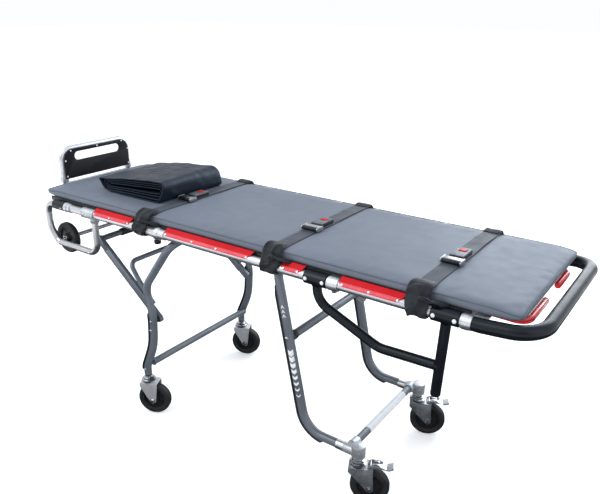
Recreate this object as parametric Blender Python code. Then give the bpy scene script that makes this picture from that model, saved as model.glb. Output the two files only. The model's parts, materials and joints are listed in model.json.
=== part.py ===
"""Roll-in stretcher trolley: a railed deck on two folding undercarriages with castors.

Metres, +Z up.  +X points to the foot end (black push loop), -X to the head end (loading wheels),
and the near side, which carries the fastening post, is at -Y.  The origin is on the floor, under
the middle of the bounding box.
"""
import math

import bmesh
import bpy
from mathutils import Matrix, Vector

# ---------------------------------------------------------------- driving dimensions
GAP = 0.0003                     # between pieces that touch
CUT_PAST = 0.03                  # how far a bore's cutter runs beyond the piece it cuts

RAIL_Y = 0.279                   # side rails: centre line and tube
RAIL_Z = 0.768
RAIL_R = 0.0150
RAIL_HEAD_X = -0.8815
RAIL_FOOT_X = 0.8060

FOOT_BAR_X = 0.968               # black loop at the foot end
FOOT_BAR_Z = 0.780
FOOT_BAR_R = 0.0190
FOOT_BEND_R = 0.075
FOOT_LEAD = 0.020                # straight stub inside the coupling, and the bend after it
FOOT_LEAD_BEND_R = 0.050

HANDLE_X = -0.9765               # lift handle at the head end
HANDLE_PIVOT_Z = 0.806
HANDLE_TOP_Z = 0.948
HANDLE_HALF_WIDTH = 0.165
HANDLE_TUBE_R = 0.0105
HANDLE_BEND_R = 0.045
HANDLE_BAR_R = 0.007
HANDLE_PLATE_EDGE = 0.003        # how far the plate stays inside the tube's centre line
HANDLE_PLATE_THICK = 0.004
HANDLE_PLATE_FOOT_Z = 0.828
HANDLE_SLOT = ((-0.112, 0.898), (0.112, 0.9325), 0.0170)

BEARER_Z = 0.776                 # cross tubes that tie the rails together
BEARER_R = 0.010
HEAD_BEARER_X = -0.866
FOOT_BEARER_X = 0.787
PANEL_TOP_Z = 0.7903
PANEL_THICK = 0.004
PANEL_CORNERS = ((-0.930, -0.258), (0.800, 0.258))
PANEL_CORNER_R = 0.020
LUG_R = 0.023                    # lugs on the hinge bearers
LUG_HALF = 0.007
LUG_WEB_HALF = 0.014
LUG_YS = {"rear": 0.185, "front": 0.130}
ARM_Y = 0.12                     # plates that carry the handle's hinge bar, and their outline
ARM_HALF = 0.004

LOOP_TUBE_R = 0.0125             # head loops, which carry the loading wheels
LOOP_LEFT_X = -0.936
LOOP_BOTTOM_Z = 0.611
LOOP_KNEES = ((-0.934, 0.662), (-0.892, LOOP_BOTTOM_Z))
LOOP_BENDS = (0.045, 0.050, 0.036, 0.050)
HEAD_TEE_X = -0.6485
HEAD_TEE_R = 0.0195
HEAD_TEE_FOOT_Z = 0.738
HEAD_BOSS_R = 0.0165
HEAD_TEE_SPAN = (-0.7050, -0.6375)
LOAD_AXLE_X = -0.883
LOAD_AXLE_Z = 0.6185
LOAD_AXLE_R = 0.008
LOAD_WHEEL_R = 0.0625
LOAD_WHEEL_WIDTH = 0.034
LOAD_WHEEL_Y = 0.240

REAR_HINGE_X = -0.255            # head-end undercarriage
REAR_FRAME_Y = 0.2745
REAR_TUBE_R = 0.0142
REAR_STEM_X = -0.432
REAR_TRAIL = 0.020
REAR_CROSS = (-0.409, 0.222)
REAR_BEND_POINTS = ((-0.403, 0.540), (-0.374, 0.430), (-0.382, 0.310), (REAR_STEM_X, 0.200))
REAR_BENDS = (0.08, 0.16, 0.24, 0.06)
REAR_TOP_BEND_R = 0.046
CROSS_R = 0.0125                 # lower cross tubes of both undercarriages

FRONT_HINGE_X = 0.152            # foot-end undercarriage, which nests inside the other
FRONT_FRAME_Y = 0.215
FRONT_TUBE_R = 0.0145
FRONT_STEM_X = 0.468
FRONT_TRAIL = 0.040
FRONT_FOOT_Z = 0.180
FRONT_BAR_X = FRONT_STEM_X - 0.025
FRONT_CROSS_Z = 0.503
FRONT_CROSS_R = 0.0135
FRONT_BENDS = (0.085, 0.040, 0.040, 0.085)
FRONT_SLOPE = 0.2083             # how far the leg runs out for each metre down
FRONT_LEG_END_X = FRONT_STEM_X - 0.052
CASTING_R = 0.0225               # elbow castings at the feet of the foot-end legs
CASTING_ZS = (0.1635, 0.209)
CASTING_BOSS_R = 0.0165
CASTING_BOSS_REACH = 0.036
CASTING_BOSS_Z = 0.193
HINGE_Z = 0.735

STRUT_Y = 0.247                  # folding stay of the head-end undercarriage
STRUT_TOP = (-0.672, 0.658)
STRUT_LOW = (-0.372, 0.412)
STRUT_WIDTH = 0.028
STRUT_THICK = 0.016
STRUT_BAR_R = 0.011
BOW_R = 0.009
BOW_CORNERS = ((-0.463, 0.532), (-0.512, 0.602))
BOW_BENDS = (0.06, 0.030, 0.030, 0.06)
BOW_FOOT_REACH = 0.335           # from the strut's top pivot, along its lower edge

CASTOR_R = 0.0635                # 127 mm castors
CASTOR_WIDTH = 0.032
CASTOR_AXLE_R = 0.0065
FORK_TOP_Z = 0.1375
FORK_INNER, FORK_OUTER = 0.0200, 0.0260
FORK_EYE_R = 0.0125
PEDAL_CLEARANCE = 0.0009
PEDAL_HALF = 0.017
FORK_SHOULDER = 0.016            # depth of the fork's straight shoulder under its top plate
CASTOR_TURN = math.radians(25)   # how far the castors are swivelled at rest
CASTOR_Y = {"rear": REAR_FRAME_Y, "front": FRONT_FRAME_Y}
LEG_BOTTOM_Z = 0.168

POST_X = 0.7355                  # fastening post, near side
POST_BOTTOM_Z = 0.527
POST_R = 0.0138
POST_TOP_SHIFT = 0.003           # the post leans: its top stands towards the foot end
POST_LEAN = 0.053
POST_ROOT_Z = RAIL_Z - 0.008
POST_TEE_XS = ((0.307, 0.384), (0.698, 0.775))
POST_BRACE = ((0.3485, 0.700), (0.552, 0.6145), (POST_X, 0.6205))
POST_BRACE_BENDS = (0.060, 0.090)
POST_DOME = 0.6                  # height of the post's rounded foot, as a share of its radius
POST_TEE_R = 0.0205

GUARD_R = 0.0178
GUARD_ARC = (19, 66)             # degrees up the rail's outer side
GUARD_TOP = (0.2715, 0.7955)     # the flange's upper edge, as (|y|, z)
GUARD_FLANGE = 0.0025
GUARD_XS = ((-0.637, -0.435), (-0.265, 0.110), (0.224, 0.302), (0.424, 0.622))

MATTRESS_X = (-0.950, 0.920)
MATTRESS_Z = (0.7908, 0.8205)
MATTRESS_HALF_WIDTH = 0.268
STRAP_XS = {"head": -0.368, "middle": 0.187, "foot": 0.661}
STRAP_WIDTH = 0.050
STRAP_THICK = 0.0025
BUCKLE_SIZE = (0.044, 0.076, 0.0160)
BUCKLE_Y = -0.016
ADJUSTER_SIZE = (0.062, 0.040, 0.0160)
ADJUSTER_Y = -0.074
BUTTON_SIZE = (0.022, 0.018, 0.0080)
BUTTON_SHIFT_Y = 0.014           # from the buckle's middle
BUTTON_PROUD = 0.0015
POCKET_DEPTH = 0.0115
BUCKLE_CORNER_R = 0.006
COVER_Y = (-0.172, 0.158)
COVER_OUTLINE = ((-0.712, 0.8215), (-0.424, 0.8215), (-0.390, 0.9060), (-0.735, 0.8740),
                 (-0.756, 0.8600))

LEVER_ROOT_X = 0.815             # release levers under the foot end of the mattress
LEVER_ROOT_Y = {"near": 0.213, "far": 0.168}
LEVER_TIP_Y = {"near": 0.058, "far": 0.046}
LEVER_Z = 0.778
LEVER_R = 0.0095
LEVER_GRIP_X = 0.918
LEVER_BEND_R = 0.030
SHELF_HALF = 0.013
SHELF_PAST = 0.012               # how far a lever's shelf reaches beyond the lever's root
SHELF_BOTTOM_Z = 0.7615

SIDES = (("near", -1), ("far", 1))


# ---------------------------------------------------------------- materials
def material(name, colour, roughness, metallic=0.0):
    """A Principled material, made once and shared by name."""
    found = bpy.data.materials.get(name)
    if found:
        return found
    made = bpy.data.materials.new(name)
    made.use_nodes = True
    shader = made.node_tree.nodes["Principled BSDF"]
    shader.inputs["Base Color"].default_value = (*colour, 1.0)
    shader.inputs["Roughness"].default_value = roughness
    shader.inputs["Metallic"].default_value = metallic
    return made


FINISHES = {
    "bare_aluminium": ((0.72, 0.73, 0.74), 0.35, 1.0),
    "cast_aluminium": ((0.66, 0.67, 0.68), 0.45, 1.0),
    "grey_paint": ((0.13, 0.15, 0.17), 0.40, 0.4),
    "black_paint": ((0.015, 0.015, 0.017), 0.45, 0.0),
    "red_guard": ((0.72, 0.03, 0.04), 0.35, 0.0),
    "red_button": ((0.65, 0.03, 0.03), 0.40, 0.0),
    "black_plastic": ((0.02, 0.02, 0.022), 0.45, 0.0),
    "zinc_plate": ((0.70, 0.70, 0.70), 0.30, 1.0),
    "wheel_rubber": ((0.02, 0.02, 0.02), 0.65, 0.0),
    "vinyl": ((0.07, 0.08, 0.09), 0.50, 0.0),
    "cover_cloth": ((0.02, 0.02, 0.025), 0.55, 0.0),
    "webbing": ((0.02, 0.02, 0.022), 0.80, 0.0),
}


# ---------------------------------------------------------------- mesh helpers
def finish_object(name, bm, finish, smooth=True):
    """Turn a bmesh into a named object with its finish."""
    bmesh.ops.remove_doubles(bm, verts=bm.verts, dist=1e-6)
    bmesh.ops.recalc_face_normals(bm, faces=bm.faces)
    mesh = bpy.data.meshes.new(name)
    bm.to_mesh(mesh)
    bm.free()
    if smooth:
        mesh.shade_smooth()
        mesh.set_sharp_from_angle(angle=math.radians(35))
    mesh.materials.append(material(finish, *FINISHES[finish]))
    made = bpy.data.objects.new(name, mesh)
    bpy.context.scene.collection.objects.link(made)
    return made


def rounded_path(corners, radii, step_deg=16.0):
    """Points along a polyline whose inner corners are arcs of the given radii."""
    corners = [Vector(c) for c in corners]
    points = [corners[0]]
    for before, corner, after, radius in zip(corners, corners[1:], corners[2:], radii):
        to_before = (before - corner).normalized()
        to_after = (after - corner).normalized()
        opening = to_before.angle(to_after)
        turn = math.pi - opening
        reach = radius / math.tan(opening / 2)
        middle = corner + (to_before + to_after).normalized() * (radius / math.sin(opening / 2))
        start = corner + to_before * reach
        normal = to_before.cross(to_after).normalized()
        steps = max(2, math.ceil(math.degrees(turn) / step_deg))
        spoke = start - middle
        for i in range(steps + 1):
            points.append(middle + Matrix.Rotation(-turn * i / steps, 3, normal) @ spoke)
    points.append(corners[-1])
    return points


def sweep(bm, points, radius, sides=14):
    """A round tube along points with flat ends, turned without twist."""
    ahead = [(b - a).normalized() for a, b in zip(points, points[1:])]
    across = ahead[0].orthogonal().normalized()
    rings = []
    for i, point in enumerate(points):
        before = ahead[max(i - 1, 0)]
        after = ahead[min(i, len(ahead) - 1)]
        along = (before + after).normalized()
        across = (across - along * across.dot(along)).normalized()
        other = along.cross(across)
        stretch = 1.0 / max(along.dot(after), 0.5)
        bend = (after - before)
        bend = bend.normalized() if bend.length > 1e-6 else None
        ring = []
        for k in range(sides):
            turn = 2 * math.pi * k / sides
            offset = (across * math.cos(turn) + other * math.sin(turn)) * radius
            if bend is not None:
                offset += bend * offset.dot(bend) * (stretch - 1.0)
            ring.append(bm.verts.new(point + offset))
        rings.append(ring)
    for low, high in zip(rings, rings[1:]):
        for k in range(sides):
            nxt = (k + 1) % sides
            bm.faces.new((low[k], low[nxt], high[nxt], high[k]))
    bm.faces.new(rings[0][::-1])
    bm.faces.new(rings[-1])


def tube(name, points, radius, finish, sides=14):
    bm = bmesh.new()
    sweep(bm, points, radius, sides)
    return finish_object(name, bm, finish)


def revolve(name, profile, finish, axis="Z", at=(0, 0, 0), segments=24, bored=False):
    """Turn a profile of (radius, height) points about an axis.  A bored profile is a closed loop."""
    bm = bmesh.new()
    turned = {"X": Matrix.Rotation(math.pi / 2, 4, "Y"), "Y": Matrix.Rotation(-math.pi / 2, 4, "X"),
              "Z": Matrix.Identity(4)}[axis]
    place = Matrix.Translation(at) @ turned
    columns = []
    for k in range(segments):
        turn = 2 * math.pi * k / segments
        columns.append([bm.verts.new(place @ Vector((r * math.cos(turn), r * math.sin(turn), h)))
                        for r, h in profile])
    count = len(profile)
    spans = range(count if bored else count - 1)
    for k in range(segments):
        one, two = columns[k], columns[(k + 1) % segments]
        for i in spans:
            j = (i + 1) % count
            bm.faces.new((one[i], two[i], two[j], one[j]))
    if not bored:
        bm.faces.new([column[0] for column in columns])
        bm.faces.new([column[-1] for column in columns][::-1])
    return finish_object(name, bm, finish)


def cylinder(name, radius, start, end, finish, sides=20):
    return tube(name, [Vector(start), Vector(end)], radius, finish, sides)


def prism(name, outline, axis, low, high, finish, smooth=False):
    """Extrude an outline of 2D points along an axis: (x, z) along Y, (y, z) along X, (x, y) along Z."""
    order = {"Y": lambda a, b, c: (a, c, b), "X": lambda a, b, c: (c, a, b),
             "Z": lambda a, b, c: (a, b, c)}[axis]
    bm = bmesh.new()
    face = bm.faces.new([bm.verts.new(order(a, b, low)) for a, b in outline])
    grown = bmesh.ops.extrude_face_region(bm, geom=[face])["geom"]
    moved = [v for v in grown if isinstance(v, bmesh.types.BMVert)]
    bmesh.ops.translate(bm, verts=moved, vec=Vector(order(0, 0, high - low)))
    return finish_object(name, bm, finish, smooth)


def block(name, low, high, finish):
    outline = [(low[0], low[1]), (high[0], low[1]), (high[0], high[1]), (low[0], high[1])]
    return prism(name, outline, "Z", low[2], high[2], finish)


def rounded_outline(low, high, radius, steps=5):
    """A rectangle with round corners, counter-clockwise."""
    outline = []
    for i, (cx, cy) in enumerate(((high[0], high[1]), (low[0], high[1]), (low[0], low[1]),
                                  (high[0], low[1]))):
        mx = cx - radius if cx == high[0] else cx + radius
        my = cy - radius if cy == high[1] else cy + radius
        for k in range(steps + 1):
            turn = math.pi / 2 * (i + k / steps)
            outline.append((mx + radius * math.cos(turn), my + radius * math.sin(turn)))
    return outline


def boolean(target, cutter, operation, finish):
    """Join or cut, keep the result as the target's mesh, and drop the cutter."""
    step = target.modifiers.new(operation.lower(), "BOOLEAN")
    step.operation = operation
    step.solver = "EXACT"
    step.object = cutter
    graph = bpy.context.evaluated_depsgraph_get()
    mesh = bpy.data.meshes.new_from_object(target.evaluated_get(graph))
    target.modifiers.clear()
    target.data = mesh
    mesh.materials.clear()
    mesh.materials.append(finish)
    bpy.data.objects.remove(cutter)


def build(base, joins=(), cuts=()):
    """Weld pieces into one body, then cut its bores."""
    finish = base.data.materials[0]
    for piece in joins:
        boolean(base, piece, "UNION", finish)
    for piece in cuts:
        boolean(base, piece, "DIFFERENCE", finish)
    base.data.shade_smooth()
    base.data.set_sharp_from_angle(angle=math.radians(35))


# ---------------------------------------------------------------- deck
def make_rails():
    for side, sign in SIDES:
        y = sign * RAIL_Y
        cylinder("rail_" + side, RAIL_R, (RAIL_HEAD_X, y, RAIL_Z), (RAIL_FOOT_X, y, RAIL_Z),
                 "bare_aluminium")


def make_guards():
    """Red strips on the rail's outer side, whose flange rises to the mattress's lower edge."""
    inner = RAIL_R + GAP
    angles = [math.radians(GUARD_ARC[0] + (GUARD_ARC[1] - GUARD_ARC[0]) * k / 4) for k in range(5)]
    outer = [(RAIL_Y + GUARD_R * math.cos(a), RAIL_Z + GUARD_R * math.sin(a)) for a in angles]
    slope = Vector((GUARD_TOP[0] - outer[-1][0], GUARD_TOP[1] - outer[-1][1])).normalized()
    drop = Vector((-slope.y, slope.x)) * GUARD_FLANGE
    outer.append(GUARD_TOP)
    under = [(GUARD_TOP[0] + drop.x, GUARD_TOP[1] + drop.y)]
    under += [(RAIL_Y + inner * math.cos(a), RAIL_Z + inner * math.sin(a)) for a in reversed(angles)]
    for side, sign in SIDES:
        for number, (start, end) in enumerate(GUARD_XS, 1):
            outline = [(sign * y, z) for y, z in outer + under]
            prism(f"rail_guard_{side}_{number}", outline, "X", start, end, "red_guard", True)


def make_foot_loop():
    start = RAIL_FOOT_X + GAP
    lead = start + FOOT_LEAD
    corners = [(start, -RAIL_Y, RAIL_Z), (lead, -RAIL_Y, RAIL_Z),
               (FOOT_BAR_X, -RAIL_Y, FOOT_BAR_Z), (FOOT_BAR_X, RAIL_Y, FOOT_BAR_Z),
               (lead, RAIL_Y, RAIL_Z), (start, RAIL_Y, RAIL_Z)]
    bends = (FOOT_LEAD_BEND_R, FOOT_BEND_R, FOOT_BEND_R, FOOT_LEAD_BEND_R)
    points = rounded_path(corners, bends, 14)
    tube("foot_loop", points, FOOT_BAR_R, "black_paint", 16)


def make_head_loops():
    """A D-shaped tube under each rail, from the rail's end back up to the tee casting."""
    tee_x = HEAD_TEE_X
    loop_top = RAIL_Z - HEAD_TEE_R - GAP
    for side, sign in SIDES:
        y = sign * RAIL_Y
        corners = [(RAIL_HEAD_X - GAP, y, RAIL_Z), (LOOP_LEFT_X, y, RAIL_Z)]
        corners += [(x, y, z) for x, z in LOOP_KNEES]
        corners += [(tee_x, y, LOOP_BOTTOM_Z), (tee_x, y, loop_top)]
        points = rounded_path(corners, LOOP_BENDS)
        tube("head_loop_" + side, points, LOOP_TUBE_R, "bare_aluminium")
        sleeve = cylinder("head_tee_" + side, HEAD_TEE_R, (HEAD_TEE_SPAN[0], y, RAIL_Z),
                          (HEAD_TEE_SPAN[1], y, RAIL_Z), "cast_aluminium")
        boss = cylinder("boss", HEAD_BOSS_R, (tee_x, y, RAIL_Z), (tee_x, y, HEAD_TEE_FOOT_Z),
                        "cast_aluminium")
        rail_bore = cylinder("cut", RAIL_R + GAP, (HEAD_TEE_SPAN[0] - CUT_PAST, y, RAIL_Z),
                             (HEAD_TEE_SPAN[1] + CUT_PAST, y, RAIL_Z), "cast_aluminium")
        loop_bore = cylinder("cut", LOOP_TUBE_R + GAP, (tee_x, y, loop_top + GAP),
                             (tee_x, y, HEAD_TEE_FOOT_Z - CUT_PAST), "cast_aluminium")
        build(sleeve, (boss,), (rail_bore, loop_bore))


def make_loading_wheels():
    reach = RAIL_Y - LOOP_TUBE_R - GAP
    cylinder("loading_axle", LOAD_AXLE_R, (LOAD_AXLE_X, -reach, LOAD_AXLE_Z),
             (LOAD_AXLE_X, reach, LOAD_AXLE_Z), "zinc_plate", 16)
    for side, sign in SIDES:
        revolve("loading_wheel_" + side, wheel_profile(LOAD_WHEEL_R, LOAD_WHEEL_WIDTH,
                                                       LOAD_AXLE_R + GAP),
                "wheel_rubber", "Y", (LOAD_AXLE_X, sign * LOAD_WHEEL_Y, LOAD_AXLE_Z), 24, True)


def make_fastening_post():
    """Two tee sleeves on the near rail, a bent brace and an upright post, welded together."""
    y = -RAIL_Y
    sleeves = [cylinder("fastening_post", POST_TEE_R, (start, y, RAIL_Z), (end, y, RAIL_Z),
                        "black_paint") for start, end in POST_TEE_XS]
    corners = [(sum(POST_TEE_XS[0]) / 2, y, POST_ROOT_Z)] + [(x, y, z) for x, z in POST_BRACE]
    brace = tube("brace", rounded_path(corners, POST_BRACE_BENDS), POST_R, "black_paint")
    dome = [(POST_R * math.cos(a), POST_BOTTOM_Z + POST_R * POST_DOME * (1 - math.sin(a)))
            for a in (math.radians(d) for d in (84, 60, 36, 0))]
    post = revolve("post", dome + [(POST_R, POST_ROOT_Z)], "black_paint", "Z", (POST_X, y, 0), 20)
    for vertex in post.data.vertices:
        vertex.co.x += POST_TOP_SHIFT + POST_LEAN * (vertex.co.z - POST_ROOT_Z)
    bore = cylinder("cut", RAIL_R + GAP, (POST_TEE_XS[0][0] - CUT_PAST, y, RAIL_Z),
                    (POST_TEE_XS[-1][-1] + CUT_PAST, y, RAIL_Z), "black_paint")
    build(sleeves[0], (brace, post, sleeves[1]), (bore,))


def make_panel():
    outline = rounded_outline(*PANEL_CORNERS, PANEL_CORNER_R, 3)
    prism("deck_panel", outline, "Z", PANEL_TOP_Z - PANEL_THICK, PANEL_TOP_Z, "bare_aluminium")


def bearer(name, x):
    reach = RAIL_Y - RAIL_R - GAP
    return cylinder(name, BEARER_R, (x, -reach, BEARER_Z), (x, reach, BEARER_Z),
                    "bare_aluminium", 16)


def make_hinge_bearer(name, x, tube_r, lug_y):
    """A cross tube with two lugs, each bored for the undercarriage's top tube."""
    body = bearer(name, x)
    joins = []
    for _, sign in SIDES:
        low, high = sorted((sign * (lug_y - LUG_HALF), sign * (lug_y + LUG_HALF)))
        joins.append(cylinder("disc", LUG_R, (x, low, HINGE_Z), (x, high, HINGE_Z),
                              "bare_aluminium"))
        joins.append(block("web", (x - LUG_WEB_HALF, low + 0.001, HINGE_Z),
                           (x + LUG_WEB_HALF, high - 0.001, BEARER_Z), "bare_aluminium"))
    reach = lug_y + LUG_HALF + CUT_PAST
    bore = cylinder("cut", tube_r + GAP, (x, -reach, HINGE_Z), (x, reach, HINGE_Z),
                    "bare_aluminium")
    build(body, joins, (bore,))


def make_end_bearers():
    """The head bearer carries the handle's hinge bar; the foot bearer carries the lever shelves."""
    head = bearer("head_bearer", HEAD_BEARER_X)
    reach = HANDLE_HALF_WIDTH + HANDLE_BAR_R
    bar = cylinder("bar", HANDLE_BAR_R, (HANDLE_X, -reach, HANDLE_PIVOT_Z),
                   (HANDLE_X, reach, HANDLE_PIVOT_Z), "bare_aluminium", 16)
    arm = [(HANDLE_X - 0.006, HANDLE_PIVOT_Z - 0.002), (HANDLE_X + 0.006, HANDLE_PIVOT_Z - 0.002),
           (-0.958, 0.7855), (HEAD_BEARER_X, 0.7855), (HEAD_BEARER_X, 0.768), (-0.962, 0.768),
           (HANDLE_X - 0.006, 0.788)]
    arms = [prism("arm", arm, "Y", sign * ARM_Y - ARM_HALF, sign * ARM_Y + ARM_HALF,
                  "bare_aluminium") for _, sign in SIDES]
    build(head, [bar] + arms)
    foot = bearer("foot_bearer", FOOT_BEARER_X)
    shelves = [block("shelf", (FOOT_BEARER_X, sign * LEVER_ROOT_Y[side] - SHELF_HALF, SHELF_BOTTOM_Z),
                     (LEVER_ROOT_X + SHELF_PAST, sign * LEVER_ROOT_Y[side] + SHELF_HALF,
                      LEVER_Z - LEVER_R - GAP), "bare_aluminium") for side, sign in SIDES]
    build(foot, shelves)


def make_levers():
    for side, sign in SIDES:
        root_y = LEVER_ROOT_Y[side]
        corners = [(LEVER_ROOT_X, sign * root_y, LEVER_Z),
                   (LEVER_GRIP_X, sign * (root_y + 0.004), LEVER_Z),
                   (LEVER_GRIP_X, sign * LEVER_TIP_Y[side], LEVER_Z)]
        tube("release_lever_" + side, rounded_path(corners, (LEVER_BEND_R,)), LEVER_R, "red_guard", 10)


def make_handle():
    """An upside-down U of tube with a grip plate on its face; both turn on the hinge bar."""
    foot = HANDLE_PIVOT_Z + HANDLE_BAR_R + GAP
    half = HANDLE_HALF_WIDTH
    corners = [(HANDLE_X, -half, foot), (HANDLE_X, -half, HANDLE_TOP_Z),
               (HANDLE_X, half, HANDLE_TOP_Z), (HANDLE_X, half, foot)]
    tube("handle_frame", rounded_path(corners, (HANDLE_BEND_R, HANDLE_BEND_R)), HANDLE_TUBE_R,
         "bare_aluminium")
    edge = HANDLE_PLATE_EDGE
    top = HANDLE_TOP_Z - edge
    inner = HANDLE_BEND_R - edge
    arc = [(half - edge - inner + inner * math.sin(a), top - inner + inner * math.cos(a))
           for a in (math.radians(15 * k) for k in range(7))]
    right = arc + [(half - edge, HANDLE_PLATE_FOOT_Z)]
    outline = right + [(-y, z) for y, z in reversed(right)]
    back = HANDLE_X + HANDLE_TUBE_R + GAP
    front = back + HANDLE_PLATE_THICK
    plate = prism("handle_plate", outline, "X", back, front, "black_paint")
    slot = prism("slot", rounded_outline(*HANDLE_SLOT, 4), "X", back - 0.01, front + 0.01,
                 "black_paint")
    build(plate, (), (slot,))


# ---------------------------------------------------------------- soft goods
def make_soft_goods():
    outline = rounded_outline((MATTRESS_X[0], -MATTRESS_HALF_WIDTH),
                              (MATTRESS_X[1], MATTRESS_HALF_WIDTH), 0.030)
    prism("mattress", outline, "Z", *MATTRESS_Z, "vinyl")
    prism("folded_cover", COVER_OUTLINE, "Y", *COVER_Y, "cover_cloth")


def strap_outline():
    """The belt's section: round the near rail, over the mattress and round the far rail."""
    wrap = RAIL_R + 0.0022
    angles = [math.radians(a) for a in (-115, -92, -69, -46, -23, 0, 15)]
    half = [(-RAIL_Y - wrap * math.cos(a), RAIL_Z + wrap * math.sin(a)) for a in angles]
    half.append((-MATTRESS_HALF_WIDTH - 0.0055, MATTRESS_Z[1] - 0.001))
    half.append((-MATTRESS_HALF_WIDTH - 0.0010, MATTRESS_Z[1] + 0.0022))
    line = [Vector(p) for p in half + [(-y, z) for y, z in reversed(half)]]
    outer, inner = [], []
    for i, point in enumerate(line):
        ahead = (line[min(i + 1, len(line) - 1)] - line[max(i - 1, 0)]).normalized()
        side = Vector((-ahead.y, ahead.x)) * STRAP_THICK / 2
        outer.append(tuple(point + side))
        inner.append(tuple(point - side))
    return outer + inner[::-1]


def make_straps():
    outline = strap_outline()
    top = MATTRESS_Z[1] + 0.0022 + STRAP_THICK / 2
    for name, x in STRAP_XS.items():
        prism("strap_" + name, outline, "X", x - STRAP_WIDTH / 2, x + STRAP_WIDTH / 2, "webbing",
              True)
        wide, long, tall = BUCKLE_SIZE
        base = top + GAP
        outline_xy = rounded_outline((x - wide / 2, BUCKLE_Y - long / 2),
                                     (x + wide / 2, BUCKLE_Y + long / 2), BUCKLE_CORNER_R, 3)
        body = prism("buckle_" + name, outline_xy, "Z", base, base + tall, "black_plastic")
        adjuster_wide, adjuster_long, adjuster_tall = ADJUSTER_SIZE
        block_xy = rounded_outline((x - adjuster_wide / 2, ADJUSTER_Y - adjuster_long / 2),
                                   (x + adjuster_wide / 2, ADJUSTER_Y + adjuster_long / 2),
                                   BUCKLE_CORNER_R, 3)
        adjuster = prism("adjuster", block_xy, "Z", base, base + adjuster_tall, "black_plastic")
        bx, by, bz = BUTTON_SIZE
        button_y = BUCKLE_Y + BUTTON_SHIFT_Y
        pocket = block("pocket", (x - bx / 2 - GAP, button_y - by / 2 - GAP,
                                  base + tall - POCKET_DEPTH),
                       (x + bx / 2 + GAP, button_y + by / 2 + GAP, base + tall + 0.01),
                       "black_plastic")
        build(body, (adjuster,), (pocket,))
        low_z = base + tall - bz + BUTTON_PROUD
        block("buckle_button_" + name, (x - bx / 2, button_y - by / 2, low_z),
              (x + bx / 2, button_y + by / 2, low_z + bz), "red_button")


# ---------------------------------------------------------------- undercarriages
def rear_leg_corners(sign):
    y = sign * REAR_FRAME_Y
    points = ((REAR_HINGE_X, HINGE_Z), *REAR_BEND_POINTS, (REAR_STEM_X, LEG_BOTTOM_Z))
    return [(x, y, z) for x, z in points]


def make_rear_frame():
    """One bent tube: down the near side, up the far side, with its top run as the hinge."""
    near = rear_leg_corners(-1)
    far = rear_leg_corners(1)
    points = rounded_path(near[::-1] + far,
                          REAR_BENDS[::-1] + (REAR_TOP_BEND_R, REAR_TOP_BEND_R) + REAR_BENDS)
    tube("rear_leg_frame", points, REAR_TUBE_R, "grey_paint")
    x, z = REAR_CROSS
    cross = cylinder("rear_cross_tube", CROSS_R, (x, -REAR_FRAME_Y, z), (x, REAR_FRAME_Y, z),
                     "grey_paint", 16)
    cope = tube("cut", points, REAR_TUBE_R + GAP, "grey_paint")
    build(cross, (), (cope,))
    keep_largest(cross)


def keep_largest(piece):
    """Drop the offcuts that coping leaves inside the legs' tubes."""
    bm = bmesh.new()
    bm.from_mesh(piece.data)
    left = set(bm.verts)
    groups = []
    while left:
        stack = [left.pop()]
        group = set(stack)
        while stack:
            for edge in stack.pop().link_edges:
                for vert in edge.verts:
                    if vert in left:
                        left.remove(vert)
                        group.add(vert)
                        stack.append(vert)
        groups.append(group)
    widest = max(groups, key=lambda g: max(v.co.y for v in g) - min(v.co.y for v in g))
    drop = [v for g in groups if g is not widest for v in g]
    bmesh.ops.delete(bm, geom=drop, context="VERTS")
    bm.to_mesh(piece.data)
    bm.free()


def make_stay():
    """The folding stay: two flat struts, their top bar and a thin bow between them."""
    top, low = Vector(STRUT_TOP), Vector(STRUT_LOW)
    along = (low - top).normalized()
    across = Vector((-along.y, along.x))
    half = STRUT_WIDTH / 2
    for side, sign in SIDES:
        outline = []
        for centre, facing in ((top, -1), (low, 1)):
            for k in range(7):
                turn = math.pi * (k / 6 - 0.5)
                spoke = along * facing * math.cos(turn) + across * facing * math.sin(turn)
                outline.append(tuple(centre + spoke * half))
        y_low, y_high = sorted((sign * (STRUT_Y - STRUT_THICK / 2), sign * (STRUT_Y + STRUT_THICK / 2)))
        strut = prism("strut_" + side, outline, "Y", y_low, y_high, "grey_paint", True)
        bore = cylinder("cut", STRUT_BAR_R + GAP, (top.x, 0, top.y),
                        (top.x, sign * STRUT_Y, top.y), "grey_paint", 16)
        build(strut, (), (bore,))
    reach = STRUT_Y - GAP
    cylinder("strut_bar", STRUT_BAR_R, (top.x, -reach, top.y), (top.x, reach, top.y),
             "grey_paint", 16)
    foot = top + along * BOW_FOOT_REACH + across * (half + BOW_R + GAP)
    half_bow = [(x, -STRUT_Y, z) for x, z in ((foot.x, foot.y), *BOW_CORNERS)]
    corners = half_bow + [(x, -y, z) for x, y, z in reversed(half_bow)]
    tube("stay_bow", rounded_path(corners, BOW_BENDS), BOW_R, "grey_paint", 10)


def front_leg_x(z):
    """The straight part of the foot-end leg leans outwards as it goes down."""
    return FRONT_HINGE_X + (HINGE_Z - z) * FRONT_SLOPE


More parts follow.
